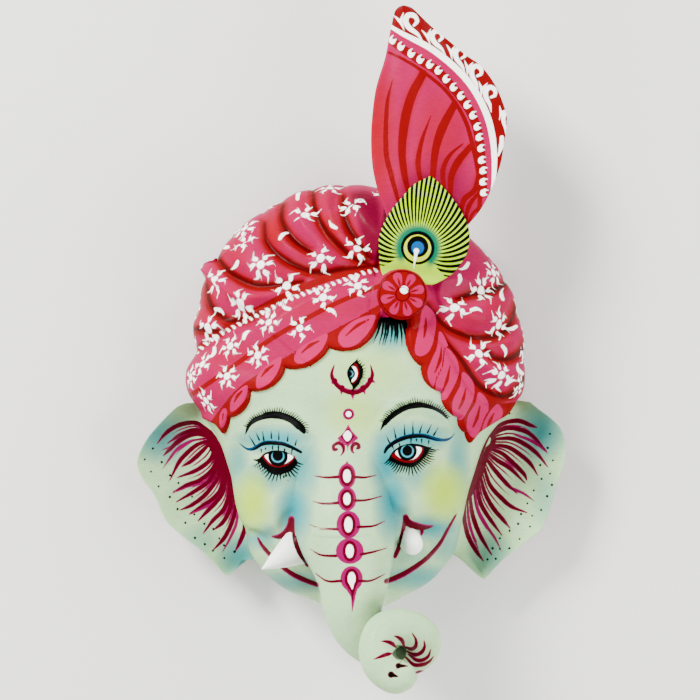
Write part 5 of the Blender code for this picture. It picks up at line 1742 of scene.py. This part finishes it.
BROOCH_COATS = [
    ("petal", "edge", "#8F093D"), ("core", "edge", "#670004"), ("white", "edge", "#FFFFF0"),
    ("shade", "edge", "#3D0002"),
]
gloss_paint("gloss brooch paint", "#6C0004", BROOCH_COATS, 0.34, 0.0004)
profile = [(0, 0), (BROOCH_RADIUS, 0)]
for k in range(7):
    bend = k / 6 * math.pi / 2
    profile.append((BROOCH_RADIUS - BROOCH_ROUND * (1 - math.cos(bend)),
                    BROOCH_THICKNESS - BROOCH_ROUND * (1 - math.sin(bend))))
profile += [(BROOCH_RADIUS * 0.5, BROOCH_THICKNESS * 1.12), (0, BROOCH_THICKNESS * 1.18)]
places, faces, radius, turn, along = turned_places(profile, 112, BROOCH_PLACE, BROOCH_FACES)
x, y = radius / SQUARE * np.cos(turn), radius / SQUARE * np.sin(turn)
coats = bare_coats(len(x), "gloss brooch paint")
for k in range(BROOCH_PETALS):
    way = math.tau * (k + 0.35) / BROOCH_PETALS
    heading = np.array([math.cos(way), math.sin(way)])
    brush(coats["petal"], x, y, [heading * 9, heading * 14, heading * 17.4], [1.5, 3.6, 4.4])
    brush(coats["core"], x, y, [heading * 8.5, heading * 12, heading * 16.4], [0.8, 1.2, 0.3])
ring(coats["shade"], x, y, (0, 0), 6.6, 0.9)
ring(coats["shade"], x, y, (0, 0), 22.4, 0.9)
dab(coats["white"], x, y, (1.6, 4.2), 3.9)
for coat in coats:
    coats[coat] = np.where(along > 0.45, coats[coat], BARE)
brooch = painted_piece("brooch_button", places, faces, coats, "gloss brooch paint")
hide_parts("brooch")

# The tusks: carved pegs of pulp, painted white and glued into the folds beside the trunk. The mask's
# right one runs to a point and the left one is broken off short and round.

TUSKS = [
    # name, foot, direction, length, radius and the share of the radius that is left at the tip
    ("tusk_left", (-42, -191, 104), (-37, -22, 15), 0.0385, 0.0145, 0),
    ("tusk_right", (57, -186, 103), (6, -9, 15), 0.0175, 0.0082, 0.5),
]
TUSK_COATS = [("shade", "wash", "#BFBCAE"), ("maroon", "edge", "#39000A")]
gloss_paint("white tusk paint", "#FFFFF2", TUSK_COATS, 0.34, 0.0005)
for name, place, towards, length, thick, tip_share in TUSKS:
    swell = 0.6 + 1.5 * tip_share
    profile = [(0, 0)]
    for s in np.linspace(0, 0.985, 28):
        taper = (1 - s**1.6) * swell + (1 - s) * (1 - swell)
        blunt = (1 - 0.14 * s) * math.sqrt(1 - s**6)
        profile.append((thick * (blunt if tip_share else taper), s * length))
    profile.append((0, length))
    places, faces, radius, turn, along = turned_places(profile, 64, place, towards)
    x, y = drawn(places)
    coats = {"shade": 0.5 * (1 - ramp(along, 0.35, 0.7)), "maroon": np.full(len(x), BARE)}
    brush(coats["maroon"], x, y, [(px + 1.5, py) for px, py in LEFT_FOLD_DOWN], [2.2, 3.2, 3.6, 3.0])
    brush(coats["maroon"], x, y, RIGHT_FOLD_DOWN, [1.0, 1.2, 1.4, 1.2])
    tusk = painted_piece(name + "_peg", places, faces, coats, "white tusk paint")
    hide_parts(name)

# The stage: a plain pale floor under soft studio light, seen by a camera straight above the mask.

bpy.ops.mesh.primitive_plane_add(size=6, location=(0, 0, 0))
floor = bpy.context.object
floor.name = "floor"
pale = bpy.data.materials.new("pale matt floor")
pale.use_nodes = True
shader = pale.node_tree.nodes["Principled BSDF"]
shader.inputs["Base Color"].default_value = linear("#D6D4D0")
shader.inputs["Roughness"].default_value = 0.8
floor.data.materials.append(pale)


def soft_light(name, place, size, power):
    """A large square lamp that shines at the mask's middle."""
    lamp = bpy.data.lights.new(name, "AREA")
    lamp.shape = "SQUARE"
    lamp.size = size
    lamp.energy = power
    thing = bpy.data.objects.new(name, lamp)
    bpy.context.scene.collection.objects.link(thing)
    thing.location = place
    thing.rotation_euler = (-mathutils.Vector(place)).to_track_quat("-Z", "Y").to_euler()


LAMPS = [
    # name, place and width in metres, power in watts
    ("key", (-1.5, 1.5, 1.7), 0.9, 221), ("fill", (1.9, -1.0, 1.5), 1.4, 105),
    ("side", (1.5, 1.9, 1.4), 1.2, 51), ("low", (-1.8, -1.5, 1.3), 1.2, 51),
]
for name, place, width, power in LAMPS:
    soft_light(name, place, width, power)
world = bpy.data.worlds.new("studio")
world.use_nodes = True
background = world.node_tree.nodes["Background"]
background.inputs["Color"].default_value = linear("#F4F4F6")
background.inputs["Strength"].default_value = 0.68
bpy.context.scene.world = world

camera = bpy.data.cameras.new("camera")
camera.sensor_width = 36
PICTURE_WIDTH = 700
camera.lens = camera.sensor_width * VIEW_DISTANCE / PICTURE_WIDTH
eye = bpy.data.objects.new("camera", camera)
eye.location = (ORIGIN[0], ORIGIN[1], VIEW_DISTANCE * SQUARE)
bpy.context.scene.collection.objects.link(eye)
bpy.context.scene.camera = eye
